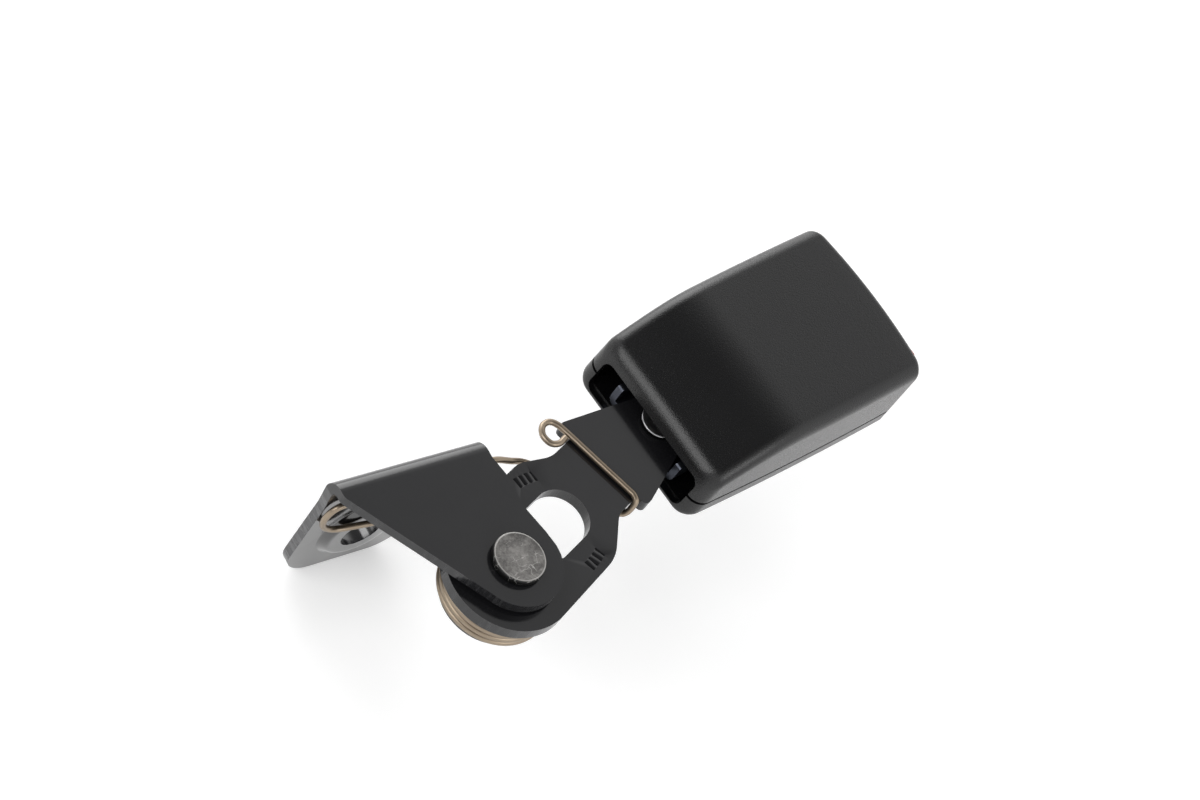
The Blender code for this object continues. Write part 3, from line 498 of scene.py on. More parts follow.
def spring_points():
    """The wire's way from its curl at the neck, round behind the bracket, to the coil."""
    over = (WIRE_RADIUS + 0.2 * MM) / MM
    under = (-STEM_PLATE - WIRE_RADIUS - 0.25 * MM) / MM
    front = (NECK_END - WIRE_RADIUS - 0.3 * MM) / MM
    side = (NECK_OFFSET - NECK_HALF - WIRE_RADIUS - 0.3 * MM) / MM
    ear = (NECK_OFFSET + EAR_HALF) / MM
    inside = (FOLD_REACH - PLATE - WIRE_RADIUS) / MM - 0.5
    curl = [in_stem(front + x, ear + y, over) for x, y in (
        (-1.6, -3.0), (-4.4, -3.0), (-6.4, -1.4), (-6.3, 1.4), (-4.2, 3.3), (-1.7, 3.1), (-0.3, 1.2))]
    neck = [
        in_stem(front, ear - 2.5, over), in_stem(front, 0, over),
        in_stem(front, side + 3.8, over), in_stem(front - 0.1, side + 1.8, over - 0.05),
        in_stem(front - 0.6, side + 0.45, over - 0.8), in_stem(front - 1.3, side + 0.15, -1.7),
        in_stem(front - 2.2, side + 0.4, -3.8), in_stem(front - 3.1, side + 1.8, under),
        in_stem(front - 5.4, side + 7, under - 0.1),
        in_stem(38.2, 7.5, under - 0.1), in_stem(33.6, 17.0, under - 0.1),
    ]
    behind = [
        in_bracket(18.1, 30.0, -3.0), in_bracket(12.8, 31.0, -1.9),
        in_bracket(5.0, inside - 0.4, -2.6), in_bracket(-10, inside, -4.4),
        in_bracket(-24, inside, -5.4), in_bracket(-31.4, inside, -5.9),
    ]
    hairpin = [
        in_bracket(-34.6, inside, -7.4), in_bracket(-35.7, inside, -11.4),
        in_bracket(-34.4, inside, -15.8), in_bracket(-31.5, inside - 0.2, -18.4),
        in_bracket(-28.0, inside - 0.8, -18.8), in_bracket(-21.9, inside - 2.2, -17.0),
        in_bracket(-12, 27.6, -14.8), in_bracket(0, 21.8, -13.1),
    ]
    low = -STEM_PLATE - COIL_TOP_GAP - WIRE_RADIUS - COIL_TURNS * COIL_PITCH
    count = round(COIL_TURNS * COIL_STEPS)
    coil = []
    for i in range(count + 1):
        angle = math.radians(58) - 2 * math.pi * i / COIL_STEPS
        coil.append(Vector((COIL_RADIUS * math.cos(angle), COIL_RADIUS * math.sin(angle),
                            low + COIL_PITCH * COIL_TURNS * i / count)))
    stops = curl + neck + behind + hairpin + [
        Vector((COIL_RADIUS * 0.28, COIL_RADIUS * 1.12, low - 0.3 * MM)), coil[0]]
    padded = [2 * stops[0] - stops[1], *stops, 2 * stops[-1] - stops[-2]]
    path = [stops[0]]
    for a, b, c, d in zip(padded, padded[1:], padded[2:], padded[3:]):
        for k in range(1, 11):
            t = k / 10
            path.append(0.5 * (2 * b + (c - a) * t + (2 * a - 5 * b + 4 * c - d) * t**2
                               + (3 * b - a - 3 * c + d) * t**3))
    return path + coil[1:]


def bent_wire(name, points, radius):
    """A bmesh of a round wire along points."""
    curve = bpy.data.curves.new(name, "CURVE")
    curve.dimensions = "3D"
    curve.bevel_depth, curve.bevel_resolution, curve.use_fill_caps = radius, 6, True
    spline = curve.splines.new("POLY")
    spline.points.add(len(points) - 1)
    for stop, point in zip(spline.points, points):
        stop.co = (*point, 1)
    guide = bpy.data.objects.new(name, curve)
    bpy.context.scene.collection.objects.link(guide)
    bpy.context.view_layer.update()
    evaluated = guide.evaluated_get(bpy.context.evaluated_depsgraph_get())
    mesh = bpy.data.meshes.new_from_object(evaluated)
    bm = new_piece()
    bm.from_mesh(mesh)
    bmesh.ops.remove_doubles(bm, verts=bm.verts[:], dist=1e-7)
    bpy.data.objects.remove(guide)
    bpy.data.curves.remove(curve)
    bpy.data.meshes.remove(mesh)
    return bm


spring_steel, shader, mix = finish("spring_steel", metallic=1.0)
cloud = grain(mix, 150, 4, 0.6)
draw_lines = grain(mix, 2200, 3, 0.6)
feed(shader, base_color=cloud.blend((0.23, 0.182, 0.135), (0.37, 0.305, 0.232)),
     roughness=0.28 + draw_lines * 0.16)
feed(shader, normal=relief(mix, draw_lines, 0.00002, 0.4))
spring = place("wound_spring", bent_wire("wound_spring", spring_points(), WIRE_RADIUS),
               Matrix.Translation(pivot), None, spring_steel, weighted=False,
               replaces=["torsion_spring"])
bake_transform(spring, "anchor", "stem_arm", start=pivot + in_stem(BEND_START, 0, 0),
         end=pivot + in_stem(BEND_END, 0, 0))

# Stem: 3.8 mm steel, blanked with a D-shaped hole, ears that stop the spring and a tapered end. Its
# edges are broken, two rows of short strokes are punched in its ring, and it has the black coat.
STEM_LENGTH, STEM_END_RADIUS, RING_RADIUS = 70.2 * MM, 9.0 * MM, 18.2 * MM
NECK_START, STEM_EASE = 39.5 * MM, 0.4 * MM
D_HOLE_RADIUS, D_HOLE_START, D_HOLE_END = 8.0 * MM, 12.5 * MM, 32.3 * MM
D_HOLE_OFFSET, BUCKLE_RIVET_HOLE = 0.3 * MM, 3.5 * MM
STROKE_LENGTH, STROKE_WIDTH, STROKE_DEPTH = 3.3, 0.6, 0.35 * MM
STROKE_PLACES = ((22.2, 14.6, 82), (24.0, 14.2, 82), (25.8, 13.7, 82), (27.6, 13.0, 82),
                 (18.4, -13.9, 96), (20.3, -13.8, 96), (22.2, -13.6, 96), (24.1, -13.2, 96))
at_stem = Matrix.Translation(pivot) @ Matrix.Rotation(STEM_TURN, 4, "Z")


def stem_outline():
    """The blank: along its lower side to the tapered end, back over the ears and round the ring."""
    top, low = NECK_OFFSET + NECK_HALF, NECK_OFFSET - NECK_HALF
    ear_top, ear_low = NECK_OFFSET + EAR_HALF + 0.5 * MM, NECK_OFFSET - EAR_HALF + 0.5 * MM
    flat = NECK_END + 0.9 * MM
    lower = [
        (26.5 * MM, -RING_RADIUS + 0.9 * MM, 13 * MM), (NECK_START - 1.5 * MM, low, 7 * MM),
        (NECK_END, low, 0.8 * MM), (NECK_END, ear_low, 1.6 * MM),
        (flat + 1.6 * MM, ear_low, 2.2 * MM),
    ]
    angle = math.degrees(math.asin((STEM_END_RADIUS + ear_low) / (STEM_LENGTH - flat)))
    end = [(x, y, 0) for x, y in arc(STEM_LENGTH, 0, STEM_END_RADIUS, -90 - angle + 12, 90 - 17.5, 40)]
    upper = [
        (flat + 0.6 * MM, ear_top, 2.0 * MM), (NECK_END, ear_top, 1.4 * MM),
        (NECK_END, top, 0.8 * MM), (NECK_START - 3.0 * MM, top, 9 * MM),
        (27.5 * MM, RING_RADIUS, 9 * MM),
    ]
    back = [(x, y, 0) for x, y in arc(0, 0, RING_RADIUS, 90, 268, 70)]
    return filleted(lower + end + upper + back, 10)


def stroke(x, y, turn):
    """A short rounded stroke, as a punch leaves."""
    half, end = (STROKE_LENGTH - STROKE_WIDTH) / 2, STROKE_WIDTH / 2
    points = arc(half, 0, end, -90, 90, 6) + arc(-half, 0, end, 90, 270, 6)
    turned = Matrix.Rotation(math.radians(turn), 2)
    return [tuple((turned @ Vector(p) + Vector((x, y))) * MM) for p in points]


stem = new_piece()
d_round = arc(D_HOLE_END - D_HOLE_RADIUS, D_HOLE_OFFSET, D_HOLE_RADIUS, -90, 90, 48)
d_hole = [(x, y, 0) for x, y in d_round] + [
    (D_HOLE_START, D_HOLE_OFFSET + D_HOLE_RADIUS, 2.5 * MM),
    (D_HOLE_START, D_HOLE_OFFSET - D_HOLE_RADIUS, 2.5 * MM)]
rims = loop(stem, stem_outline()) + loop(stem, filleted(d_hole))
rims += loop(stem, circle(0, 0, RIVET_HOLE_RADIUS))
rims += loop(stem, circle(STEM_LENGTH, 0, BUCKLE_RIVET_HOLE))
strokes = [loop(stem, stroke(x, y, turn)) for x, y, turn in STROKE_PLACES]
punched = [e for edges in strokes for e in edges]
bmesh.ops.triangle_fill(stem, use_beauty=True, edges=rims + punched)
for edges in strokes:
    floor_edges = drawn(stem, edges, (0, 0, -STROKE_DEPTH))
    bmesh.ops.contextual_create(stem, geom=floor_edges)
lower_rims = drawn(stem, rims, (0, 0, -STEM_PLATE))
bmesh.ops.triangle_fill(stem, use_beauty=True, edges=lower_rims)
bmesh.ops.recalc_face_normals(stem, faces=stem.faces[:])


def on_a_rim(edge):
    """True for an edge that lies in one of the stem's two faces, save round a stroke."""
    one, other = (v.co.z for v in edge.verts)
    level = abs(one - other) < 1e-6
    return level and edge not in punched and min(abs(one), abs(one + STEM_PLATE)) < 1e-6


eased(stem, sharp_edges(stem, 60, on_a_rim), STEM_EASE)
marked_walls(stem)
place("stem_plate", stem, at_stem, "stem_arm", black_coat, replaces=["stem"])

# Pivot rivet: a steel rivet with a flat pressed head over the arm, bare and mottled on top, and a tail
# peened under the spool's washer. A low rim stands round the head where the tool met it, with a
# painted highlight along its ridge; past the ridge the head is painted near black.
RIVET_RADIUS, RIVET_HEAD_RADIUS, RIVET_HEAD_HEIGHT, RIVET_RIM_RADIUS = 5.0, 7.5, 2.1, 7.0
RIVET_TAIL_TOP, RIVET_TAIL_RADIUS = -16.6, 7.0
head_low = (ARM_TOP + 0.2 * MM) / MM
head_high = head_low + RIVET_HEAD_HEIGHT
head_flat = head_high - 0.10
rivet_steel, shader, mix = finish("rivet_steel", metallic=1.0)
cloud = grain(mix, 420, 5, 0.62)
where = mix.node("ShaderNodeTexCoord", output="Object")
warp = mix.node("ShaderNodeTexNoise", {}, {"Vector": where, "Scale": 500, "Detail": 3}, "Color")
bent = mix.node("ShaderNodeVectorMath", {"operation": "MULTIPLY_ADD"},
                {0: warp, 1: (0.0016, 0.0016, 0.0016), 2: where})
cracks = mix.node("ShaderNodeTexVoronoi", {"feature": "DISTANCE_TO_EDGE"},
                  {"Vector": bent, "Scale": 360}, "Distance")
lines = (1 - cracks.stepped(0.0, 0.030)) * grain(mix, 300, 2).stepped(0.46, 0.60) * 0.8
speckle = grain(mix, 2200, 4, 0.75)
apart = mix.node("ShaderNodeVectorMath", {"operation": "DISTANCE"}, {
    0: where, 1: (pivot.x, pivot.y, pivot.z + ARM_TOP + 2.2 * MM)}, "Value")
pale = (cloud.stepped(0.40, 0.70) * 0.38 + (1 - apart.stepped(1.0 * MM, 5.5 * MM)) * 0.35
        + speckle.stepped(0.3, 0.75) * 0.42).clamped()
# The ridge of the rim is painted light as a highlight, and the outer bevel and side past it are painted near
# black.
rim_at = RIVET_RIM_RADIUS * MM
painted_ridge_highlight = apart.stepped(rim_at - 0.2 * MM, rim_at - 0.1 * MM) * (
    1 - apart.stepped(rim_at + 0.1 * MM, rim_at + 0.2 * MM))
outer = apart.stepped(rim_at + 0.1 * MM, rim_at + 0.3 * MM)
metal = outer.blend(pale.blend((0.105, 0.101, 0.098), (0.36, 0.35, 0.335)), (0.03, 0.03, 0.03))
feed(shader, base_color=(lines + painted_ridge_highlight * 0.7).clamped().blend(metal, (0.52, 0.51, 0.49)),
     roughness=0.38 + speckle * 0.22)
feed(shader, normal=relief(mix, pale + lines * 0.4, 0.00004, 0.6))
rivet_profile = [
    (0, head_flat), (3.0, head_flat), (5.9, head_flat), (6.5, head_flat + 0.02),
    (RIVET_RIM_RADIUS - 0.2, head_high - 0.02), (RIVET_RIM_RADIUS, head_high),
    (RIVET_RIM_RADIUS + 0.2, head_high - 0.06), (RIVET_HEAD_RADIUS - 0.14, head_high - 0.2),
    (RIVET_HEAD_RADIUS - 0.04, head_high - 0.42), (RIVET_HEAD_RADIUS, head_high - 0.7),
    (RIVET_HEAD_RADIUS, head_low + 0.5), (RIVET_HEAD_RADIUS - 0.08, head_low + 0.2),
    (RIVET_HEAD_RADIUS - 0.3, head_low), (RIVET_RADIUS, head_low),
    (RIVET_RADIUS, RIVET_TAIL_TOP), (RIVET_TAIL_RADIUS, RIVET_TAIL_TOP),
    (RIVET_TAIL_RADIUS + 0.05, RIVET_TAIL_TOP - 0.4), (RIVET_TAIL_RADIUS - 0.2, RIVET_TAIL_TOP - 1.0),
    (RIVET_TAIL_RADIUS - 1.2, RIVET_TAIL_TOP - 1.5), (RIVET_TAIL_RADIUS - 3.0, RIVET_TAIL_TOP - 1.8),
    (0, RIVET_TAIL_TOP - 1.9),
]
place("peened_rivet", spun(rivet_profile), at_bracket, "anchor", rivet_steel,
      weighted=False, replaces=["pivot_rivet"])

# Buckle frame: a 2 mm zinc-plated channel that the stem is riveted to. Its cut ends show in the
# mouth of the covers.
head_place = Vector(next(j["pos_m"] for j in frame["joints"] if j["name"] == "head_swivel"))
at_head = Matrix.Translation(head_place)
frame_steel, shader, mix = finish("frame_steel", metallic=1.0)
cloud = grain(mix, 240, 4, 0.6)
spots = grain(mix, 1500, 3, 0.6)
feed(shader, base_color=cloud.blend((0.055, 0.06, 0.075), (0.10, 0.108, 0.13)),
     roughness=0.34 + spots * 0.2)
refinish("frame", frame_steel)

# Latch and its pin: a zinc-plated plate, blanked and bent to a nose that holds the tongue. It turns
# on the pin, which is riveted across the frame.
refinish("latch", zinc)
refinish("latch_pin", zinc)


def squeezed(name, node, axis, end):
    """A coil copied from the frame's node and placed on the head with a mesh of its own; the end that it
    sits on is found along the axis.
    """
    coil = new_piece()
    coil.from_mesh(frame["nodes"][node].data)
    bmesh.ops.remove_doubles(coil, verts=coil.verts[:], dist=1e-6)
    seat = end(coil.verts, key=lambda v: v.co.dot(Vector(axis))).co.copy()
    made = place(name, coil, Matrix(), "head", zinc, weighted=False, replaces=[node])
    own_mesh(made)


squeezed("lid_spring", "latch_spring", (0, 0, 1), max)
squeezed("left_spring", "button_spring_left", (1, 0, 0), min)
squeezed("right_spring", "button_spring_right", (1, 0, 0), min)
squeezed("fork_spring", "ejector_spring", (1, 0, 0), min)

# Buckle rivet: a steel rivet, bare on its turned rim and blackened below it. It goes through the
# stem and the frame, so that the head can turn a little on the stem.
BUCKLE_RIM_RADIUS, BUCKLE_RIVET_RADIUS, BUCKLE_TAIL_TOP = 5.3, 3.2, -7.0
rim_steel, shader, mix = finish("rim_steel", metallic=1.0)
cloud = grain(mix, 500, 4, 0.6)
height = mix.node("ShaderNodeSeparateXYZ", {}, {
    "Vector": mix.node("ShaderNodeTexCoord", output="Object")}, "Z")
turned = height.stepped(head_place.z + 1.15 * MM, head_place.z + 1.35 * MM)
bright = cloud.blend((0.30, 0.30, 0.31), (0.55, 0.55, 0.56))
feed(shader, base_color=turned.blend((0.02, 0.02, 0.02), bright), roughness=0.24 + cloud * 0.2)
flat_head = [
    (0, 1.55), (4.5, 1.55), (4.75, 1.58), (4.95, 1.62), (5.1, 1.58), (5.22, 1.46), (5.28, 1.3),
    (BUCKLE_RIM_RADIUS, 1.1), (BUCKLE_RIM_RADIUS, 0.4), (BUCKLE_RIM_RADIUS - 0.1, 0.2),
    (BUCKLE_RIVET_RADIUS, 0.2), (BUCKLE_RIVET_RADIUS, BUCKLE_TAIL_TOP),
    (4.9, BUCKLE_TAIL_TOP), (3.9, BUCKLE_TAIL_TOP - 0.7), (0, BUCKLE_TAIL_TOP - 0.8),
]
place("flat_rivet", spun(flat_head), at_head, "head", rim_steel, weighted=False,
      replaces=["buckle_rivet"])

# Ejector: a fork moulded in white acetal. It slides in the frame's channel and throws the tongue
# out when the latch lifts.
acetal, shader, mix = finish("acetal")
cloud = grain(mix, 200, 3)
feed(shader, base_color=cloud.blend((0.62, 0.62, 0.58), (0.74, 0.74, 0.70)),
     roughness=0.36 + cloud * 0.14)
refinish("ejector", acetal)

# Covers: two black mouldings with a fine spark-eroded grain, lofted over the frame and parted
# along a seam. The upper one is crowned and falls away towards the stem.
FRAME_HALF, FRAME_GAP = 14.25 * MM, 0.95 * MM
BUTTON_HALF = FRAME_HALF + 5.35 * MM
HEAD_HALF = BUTTON_HALF + 6.5 * MM
HEAD_BACK, HEAD_FRONT = -6.3 * MM, 73.9 * MM
HEAD_BOTTOM, HEAD_TOP, BACK_TOP = -9.0 * MM, 19.4 * MM, 9.4 * MM
PARTING, SEAM, WALL = -1.9 * MM, 0.8 * MM, 2.0 * MM
MOUTH_HALF, MOUTH_LOW, MOUTH_HIGH = HEAD_HALF - 5.3 * MM, -7.6 * MM, 3.8 * MM
MOUTH_RADIUS, MOUTH_LEAN = 2.6 * MM, 0.17
BUTTON_HIGH, BUTTON_GAP, BUTTON_RADIUS = 15.2 * MM, 0.4 * MM, 1.5 * MM
SLOT_HALF, SLOT_LOW, SLOT_TOP, SLOT_RADIUS = FRAME_HALF + 0.35 * MM, -4.9 * MM, 1.9 * MM, 1.2 * MM
MOUTH_CORNER, MOUTH_ROUND_LOW, MOUTH_ROUND_HIGH = 4.2 * MM, 1.2 * MM, 2.6 * MM
END_CORNER, END_ROUND_HIGH, END_BOW = 2.2 * MM, 2.0 * MM, 1.7 * MM
FLOOR_RADIUS, TOP_RADIUS, TOP_CROWN, SIDE_BULGE = 3.0 * MM, 4.2 * MM, 0.45 * MM, 0.9 * MM
FALL_START, FALL_LENGTH, RISE, RISE_LENGTH = 26 * MM, 30 * MM, 1.1 * MM, 44 * MM
END_BLEND, LIP_EASE = 30 * MM, 0.12 * MM
CORNER_STEPS, FLAT_STEPS, SIDE_STEPS = 10, 16, 8


def soft_step(value, low, high):
    """0 below low and 1 above high, easing in between."""
    t = min(max((value - low) / (high - low), 0), 1)
    return t * t * (3 - 2 * t)


def top_height(x):
    """The top of the head: it falls away towards the stem and rises a little towards the button."""
    fall = min(max((FALL_START - x) / FALL_LENGTH, 0), 1.1)
    rise = RISE * min(max((x - FALL_START) / RISE_LENGTH, 0), 1)
    middle = HEAD_TOP - RISE
    return middle + rise - (middle - BACK_TOP) * fall**1.7


def rounded_ring(half, low, high, low_radius, high_radius, crown=0.0, waist=None):
    """A ring of (y, z) points: right side, over the top, left side and back under the floor.

    With a waist, the ring steps in to that half width below the waist's height.
    """
    quarter = [math.pi / 2 * k / CORNER_STEPS for k in range(CORNER_STEPS + 1)]
    low_half = waist[0] if waist else half
    step = waist[1] if waist else low + low_radius
    right = [(low_half - low_radius + low_radius * math.sin(a),
              low + low_radius - low_radius * math.cos(a)) for a in quarter]
    wall_low, wall_high = right[-1][1], high - high_radius
    for k in range(1, SIDE_STEPS):
        z = wall_low + (wall_high - wall_low) * k / SIDE_STEPS
        right.append((half if not waist or z > step else low_half, z))
    right += [(half - high_radius + high_radius * math.cos(a),
               high - high_radius + high_radius * math.sin(a)) for a in quarter]
    over = [((half - high_radius) * (1 - 2 * k / FLAT_STEPS), high) for k in range(1, FLAT_STEPS)]
    left = [(-y, z) for y, z in reversed(right)]
    under = [((low_half - low_radius) * (-1 + 2 * k / FLAT_STEPS), low) for k in range(1, FLAT_STEPS)]
    ring = right + over + left + under
    return [(y, z - crown * (y / half)**2 if z > 0 else z) for y, z in ring]


def bowed(x, y, z):
    """A point of the head, moved for the slanted mouth and the bowed button end."""
    slant = 1 - soft_step(x, HEAD_BACK, HEAD_BACK + END_BLEND)
    bow = soft_step(x, HEAD_FRONT - END_BLEND, HEAD_FRONT)
    return (x + slant * MOUTH_LEAN * (z - HEAD_BOTTOM) - bow * END_BOW * (y / HEAD_HALF)**2, y, z)


def rounded_off(depth, radius):
    """How far a rounding of that radius stands back at a depth behind its face."""
    rest = max(radius - depth, 0)
    return radius - math.sqrt(radius**2 - rest**2)


def section(x, inset=0.0):
    """The head's cross-section at x, drawn in towards both ends by their roundings."""
    widest = 0.6 * HEAD_FRONT
    half = HEAD_HALF - inset - SIDE_BULGE * ((x - widest) / (widest - HEAD_BACK))**2
    low, high = HEAD_BOTTOM + inset, top_height(x) - inset
    if not inset:
        back, front = x - HEAD_BACK, HEAD_FRONT - x
        half -= rounded_off(back, MOUTH_CORNER) + rounded_off(front, END_CORNER)
        low += rounded_off(back, MOUTH_ROUND_LOW) + rounded_off(front, END_CORNER)
        high -= rounded_off(back, MOUTH_ROUND_HIGH) + rounded_off(front, END_ROUND_HIGH)
    return rounded_ring(half, low, high, FLOOR_RADIUS - 0.6 * inset, TOP_RADIUS - 0.6 * inset, TOP_CROWN)


def head_rings():
    """The closed row of rings of the whole shell: outside, button end, inside and mouth."""
    turns = [math.pi / 2 * k / 12 for k in range(13)]
    start, end = HEAD_BACK + MOUTH_CORNER, HEAD_FRONT - END_CORNER
    rows = [HEAD_BACK + MOUTH_CORNER * (1 - math.cos(a)) for a in turns]
    rows += [start + (end - start) * k / 36 for k in range(1, 36)]
    rows += [HEAD_FRONT - END_CORNER * (1 - math.sin(a)) for a in turns]
    outside = [[bowed(x, y, z) for y, z in section(x)] for x in rows]
    window = rounded_ring(BUTTON_HALF + BUTTON_GAP, SLOT_LOW, BUTTON_HIGH + BUTTON_GAP,
                          SLOT_RADIUS, BUTTON_RADIUS, waist=(SLOT_HALF, SLOT_TOP))
    opened = [[bowed(x, y, z) for y, z in window] for x in (HEAD_FRONT, HEAD_FRONT - WALL)]
    inner = [HEAD_FRONT - WALL, HEAD_FRONT - WALL - 1 * MM, 50 * MM, 26 * MM, 12 * MM, 4 * MM, 0.0,
             HEAD_BACK + WALL]
    inside = [[bowed(x, y, z) for y, z in section(x, WALL)] for x in inner]
    mouth = rounded_ring(MOUTH_HALF, MOUTH_LOW, MOUTH_HIGH, MOUTH_RADIUS, MOUTH_RADIUS)
    lips = [[bowed(x, y, z) for y, z in mouth] for x in (HEAD_BACK + WALL, HEAD_BACK)]
    return outside + opened + inside + lips


def lofted(bm, rings):
    """Draws a ring of edges out through the other rings, point for point, and back to itself."""
    order = bm.verts.layers.int["order"]
    edges = loop(bm, [point[:2] for point in rings[0]])
    for i, v in enumerate(bm.verts):
        v.co, v[order] = rings[0][i], i
    for ring in rings[1:] + rings[:1]:
        edges = drawn(bm, edges)
        for v in verts_of(edges):
            v.co = ring[v[order]]
    bmesh.ops.remove_doubles(bm, verts=bm.verts[:], dist=1e-7)


def shell(above):
    """The upper or the lower cover, parted from the whole shell along the seam."""
    bm = new_piece()
    lofted(bm, head_rings())
    height = PARTING + SEAM / 2 * (1 if above else -1)
    bmesh.ops.bisect_plane(bm, geom=bm.verts[:] + bm.edges[:] + bm.faces[:], dist=1e-8,
                           plane_co=(0, 0, height), plane_no=(0, 0, 1),
                           clear_outer=not above, clear_inner=above)
    bmesh.ops.holes_fill(bm, edges=[e for e in bm.edges if e.is_boundary], sides=0)
    bmesh.ops.recalc_face_normals(bm, faces=bm.faces[:])
    eased(bm, sharp_edges(bm, 50), LIP_EASE, 3)
    return bm


def rib(bm, x, y, z):
    """A rib inside a cover, from its lower to its upper bounds along each axis."""
    made = bmesh.ops.create_cube(bm, size=1)["verts"]
    bmesh.ops.scale(bm, verts=made, vec=(x[1] - x[0], y[1] - y[0], z[1] - z[0]))
    bmesh.ops.translate(bm, verts=made, vec=(sum(x) / 2, sum(y) / 2, sum(z) / 2))


def rib_pair(bm, x, y, z):
    """A rib beside the frame and its twin on the other side."""
    rib(bm, x, y, z)
    rib(bm, x, (-y[1], -y[0]), z)


grained_black, shader, mix = finish("grained_black")
spark = grain(mix, 2300, 3, 0.65)
cloud = grain(mix, 40, 3)
rub = (rounded_edge_mask(mix) * grain(mix, 400, 3)).clamped()
black = cloud.blend((0.0022, 0.0022, 0.0025), (0.0040, 0.0040, 0.0045))
feed(shader, base_color=(rub * 0.3).blend(black, (0.05, 0.05, 0.052)),
     roughness=0.22 + cloud * 0.05 + spark * 0.06)
feed(shader, normal=relief(mix, spark, 0.00011, 0.6))
beside_frame = (FRAME_HALF + FRAME_GAP, HEAD_HALF - 1.2 * MM)
over_frame = (FRAME_HALF - 1.9 * MM, FRAME_HALF)
upper = shell(True)
rib_pair(upper, (-0.5 * MM, 7 * MM), over_frame, (0.9 * MM, 8.6 * MM))
rib_pair(upper, (22 * MM, 24 * MM), beside_frame, (2 * MM, 15 * MM))
rib(upper, (31 * MM, 39 * MM), (-4 * MM, 4 * MM), (13.2 * MM, 17 * MM))
place("top_cover", upper, at_head, "head", grained_black, replaces=["upper_cover"])
lower = shell(False)
rib_pair(lower, (8 * MM, 9.6 * MM), beside_frame, (HEAD_BOTTOM + 1 * MM, PARTING - 0.5 * MM))
place("bottom_cover", lower, at_head, "head", grained_black, replaces=["lower_cover"])

# Release button: a red moulding with a fine grain. It slides in the covers' end window against its
# two springs, and its face stands a little out of the window.
BUTTON_FACE_DEPTH, BUTTON_STANDS_OUT = 1.5 * MM, 1.0 * MM
grained_red, shader, mix = finish("grained_red")
spark = grain(mix, 2600, 2, 0.6)
cloud = grain(mix, 60, 3)
feed(shader, base_color=cloud.blend((0.36, 0.010, 0.014), (0.46, 0.016, 0.020)),
     roughness=0.34 + cloud * 0.08)
feed(shader, normal=relief(mix, spark, 0.00004, 0.5))
button_front = max(v.co.x for v in frame["nodes"]["release_button"].data.vertices)
button = new_piece()
button.from_mesh(frame["nodes"]["release_button"].data)
bmesh.ops.remove_doubles(button, verts=button.verts[:], dist=1e-6)
bmesh.ops.translate(button, vec=(BUTTON_STANDS_OUT, 0, 0),
                    verts=[v for v in button.verts if v.co.x > button_front - BUTTON_FACE_DEPTH])
place("red_button", button, Matrix(), "button", grained_red, weighted=False,
      replaces=["release_button"])

# White paper under the buckle: to the eye and in reflections it is as bright as the room, and it
# keeps a soft shadow.
paper, shader, mix = finish("paper")
seen = mix.node("ShaderNodeLightPath", output="Is Camera Ray")
mirrored = mix.node("ShaderNodeLightPath", output="Is Glossy Ray")
through = mix.node("ShaderNodeLightPath", output="Is Transmission Ray")
shader.inputs["Base Color"].default_value = (0.90, 0.90, 0.90, 1)
shader.inputs["Roughness"].default_value = 0.9
shader.inputs["Specular IOR Level"].default_value = 0.0
glow = mix.node("ShaderNodeEmission", {},
                {"Strength": (seen + mirrored + through).clamped() * 0.26}, "Emission")
both = mix.node("ShaderNodeAddShader", {},
                {0: Signal(mix.tree, shader.outputs["BSDF"]), 1: glow}, "Shader")
mix.tree.links.new(both.socket, mix.tree.nodes["Material Output"].inputs["Surface"])
sheet = bmesh.new()
bmesh.ops.create_grid(sheet, x_segments=1, y_segments=1, size=6.0)
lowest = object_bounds()[0].z
bmesh.ops.translate(sheet, verts=sheet.verts[:], vec=(0, 0, lowest - 0.2 * MM))
paper_mesh = bpy.data.meshes.new("paper")
sheet.to_mesh(paper_mesh)
sheet.free()
paper_mesh.materials.append(paper)
floor = bpy.data.objects.new("paper_floor", paper_mesh)
bpy.context.scene.collection.objects.link(floor)

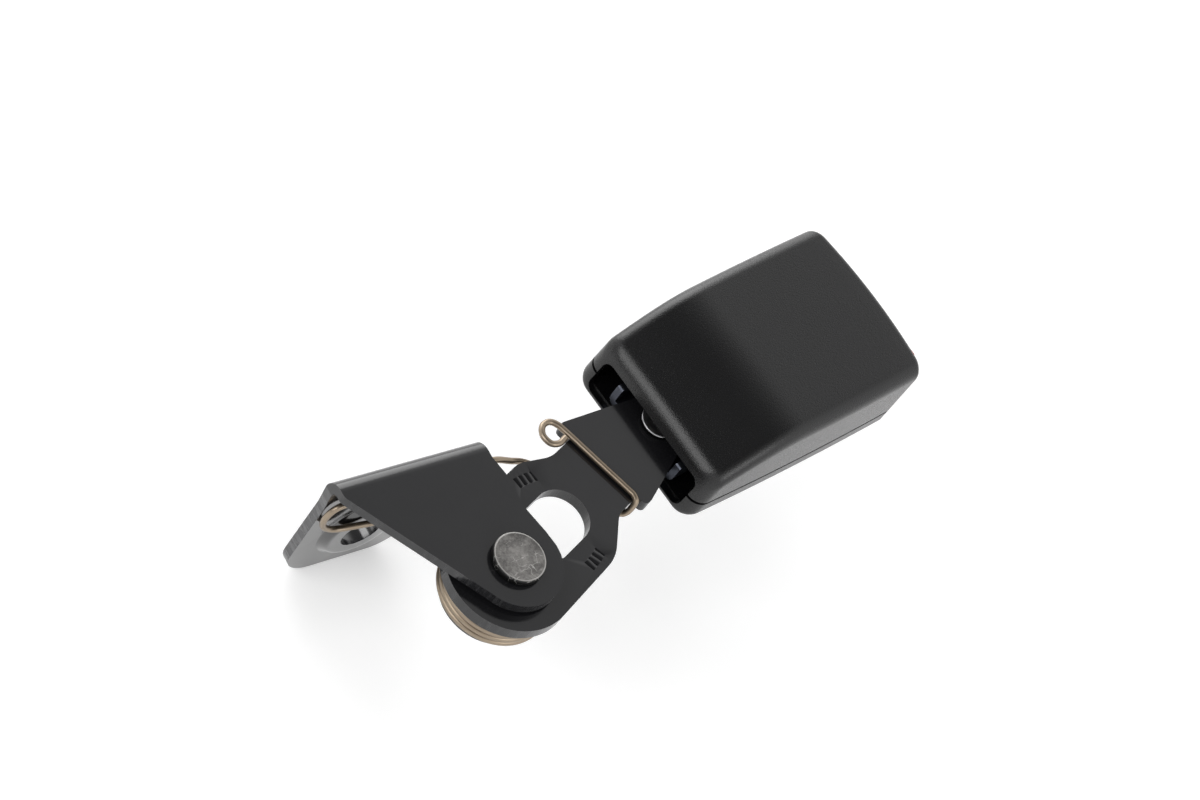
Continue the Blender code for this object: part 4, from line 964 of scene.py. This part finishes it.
# The room: white walls all round, dimmer straight overhead and beyond the bracket. A softbox lights
# the bracket's end, a smaller lamp the near side, and a wide one the far side.
AIM = (0.04, -0.02, 0.02)
scene = bpy.context.scene
world = bpy.data.worlds.new("room")
scene.world = world
world.use_nodes = True
room = Signal(world.node_tree)
direction = room.node("ShaderNodeTexCoord", output="Generated")
toward = room.node("ShaderNodeVectorMath", {"operation": "DOT_PRODUCT"},
                   {0: direction, 1: (-0.18, 0.10, 0.978)}, "Value")
beside = room.node("ShaderNodeVectorMath", {"operation": "DOT_PRODUCT"},
                   {0: direction, 1: (-0.96, 0.25, 0.10)}, "Value")
lit = 1.15 - toward.stepped(0.50, 0.94) * 0.97 - beside.stepped(0.72, 0.93) * 0.75
seen = room.node("ShaderNodeLightPath", output="Is Camera Ray")
backdrop = world.node_tree.nodes["Background"]
backdrop.inputs["Color"].default_value = (1, 1, 1, 1)
world.node_tree.links.new((lit + seen * (1.0 - lit)).socket, backdrop.inputs["Strength"])


def soft_lamp(name, place_at, size, power):
    """A square lamp that faces the buckle."""
    lamp = bpy.data.lights.new(name, "AREA")
    lamp.shape, lamp.size, lamp.energy = "SQUARE", size, power
    made = bpy.data.objects.new(name, lamp)
    made.location = place_at
    made.rotation_mode = "QUATERNION"
    made.rotation_quaternion = (Vector(AIM) - Vector(place_at)).to_track_quat("-Z", "Y")
    scene.collection.objects.link(made)


soft_lamp("softbox", (-0.95, 0.25, 0.8), 0.8, 7)
soft_lamp("side_light", (0.04, -1.04, 0.60), 0.4, 1.6)
soft_lamp("back_light", (0.50, 1.25, 0.45), 1.2, 12)

# Camera: a long lens above the buckle, which looks down on it from the bracket's side. Its place and
# its three axes were fitted to the photograph.
camera_data = bpy.data.cameras.new("camera")
camera_data.lens, camera_data.sensor_width = 126, 36
camera_data.clip_start, camera_data.clip_end = 0.01, 20
camera = bpy.data.objects.new("camera", camera_data)
right = Vector((0.708593, -0.577284, 0.40576))
down = Vector((-0.346060, -0.785450, -0.51314))
ahead = Vector((0.614929, 0.223192, -0.75634))
stands_at = Matrix.Translation((-0.618633, -0.258337, 0.872200))
camera.matrix_world = stands_at @ Matrix((right, -down, -ahead)).transposed().to_4x4()
scene.collection.objects.link(camera)
scene.camera = camera
scene.view_settings.view_transform = "Standard"
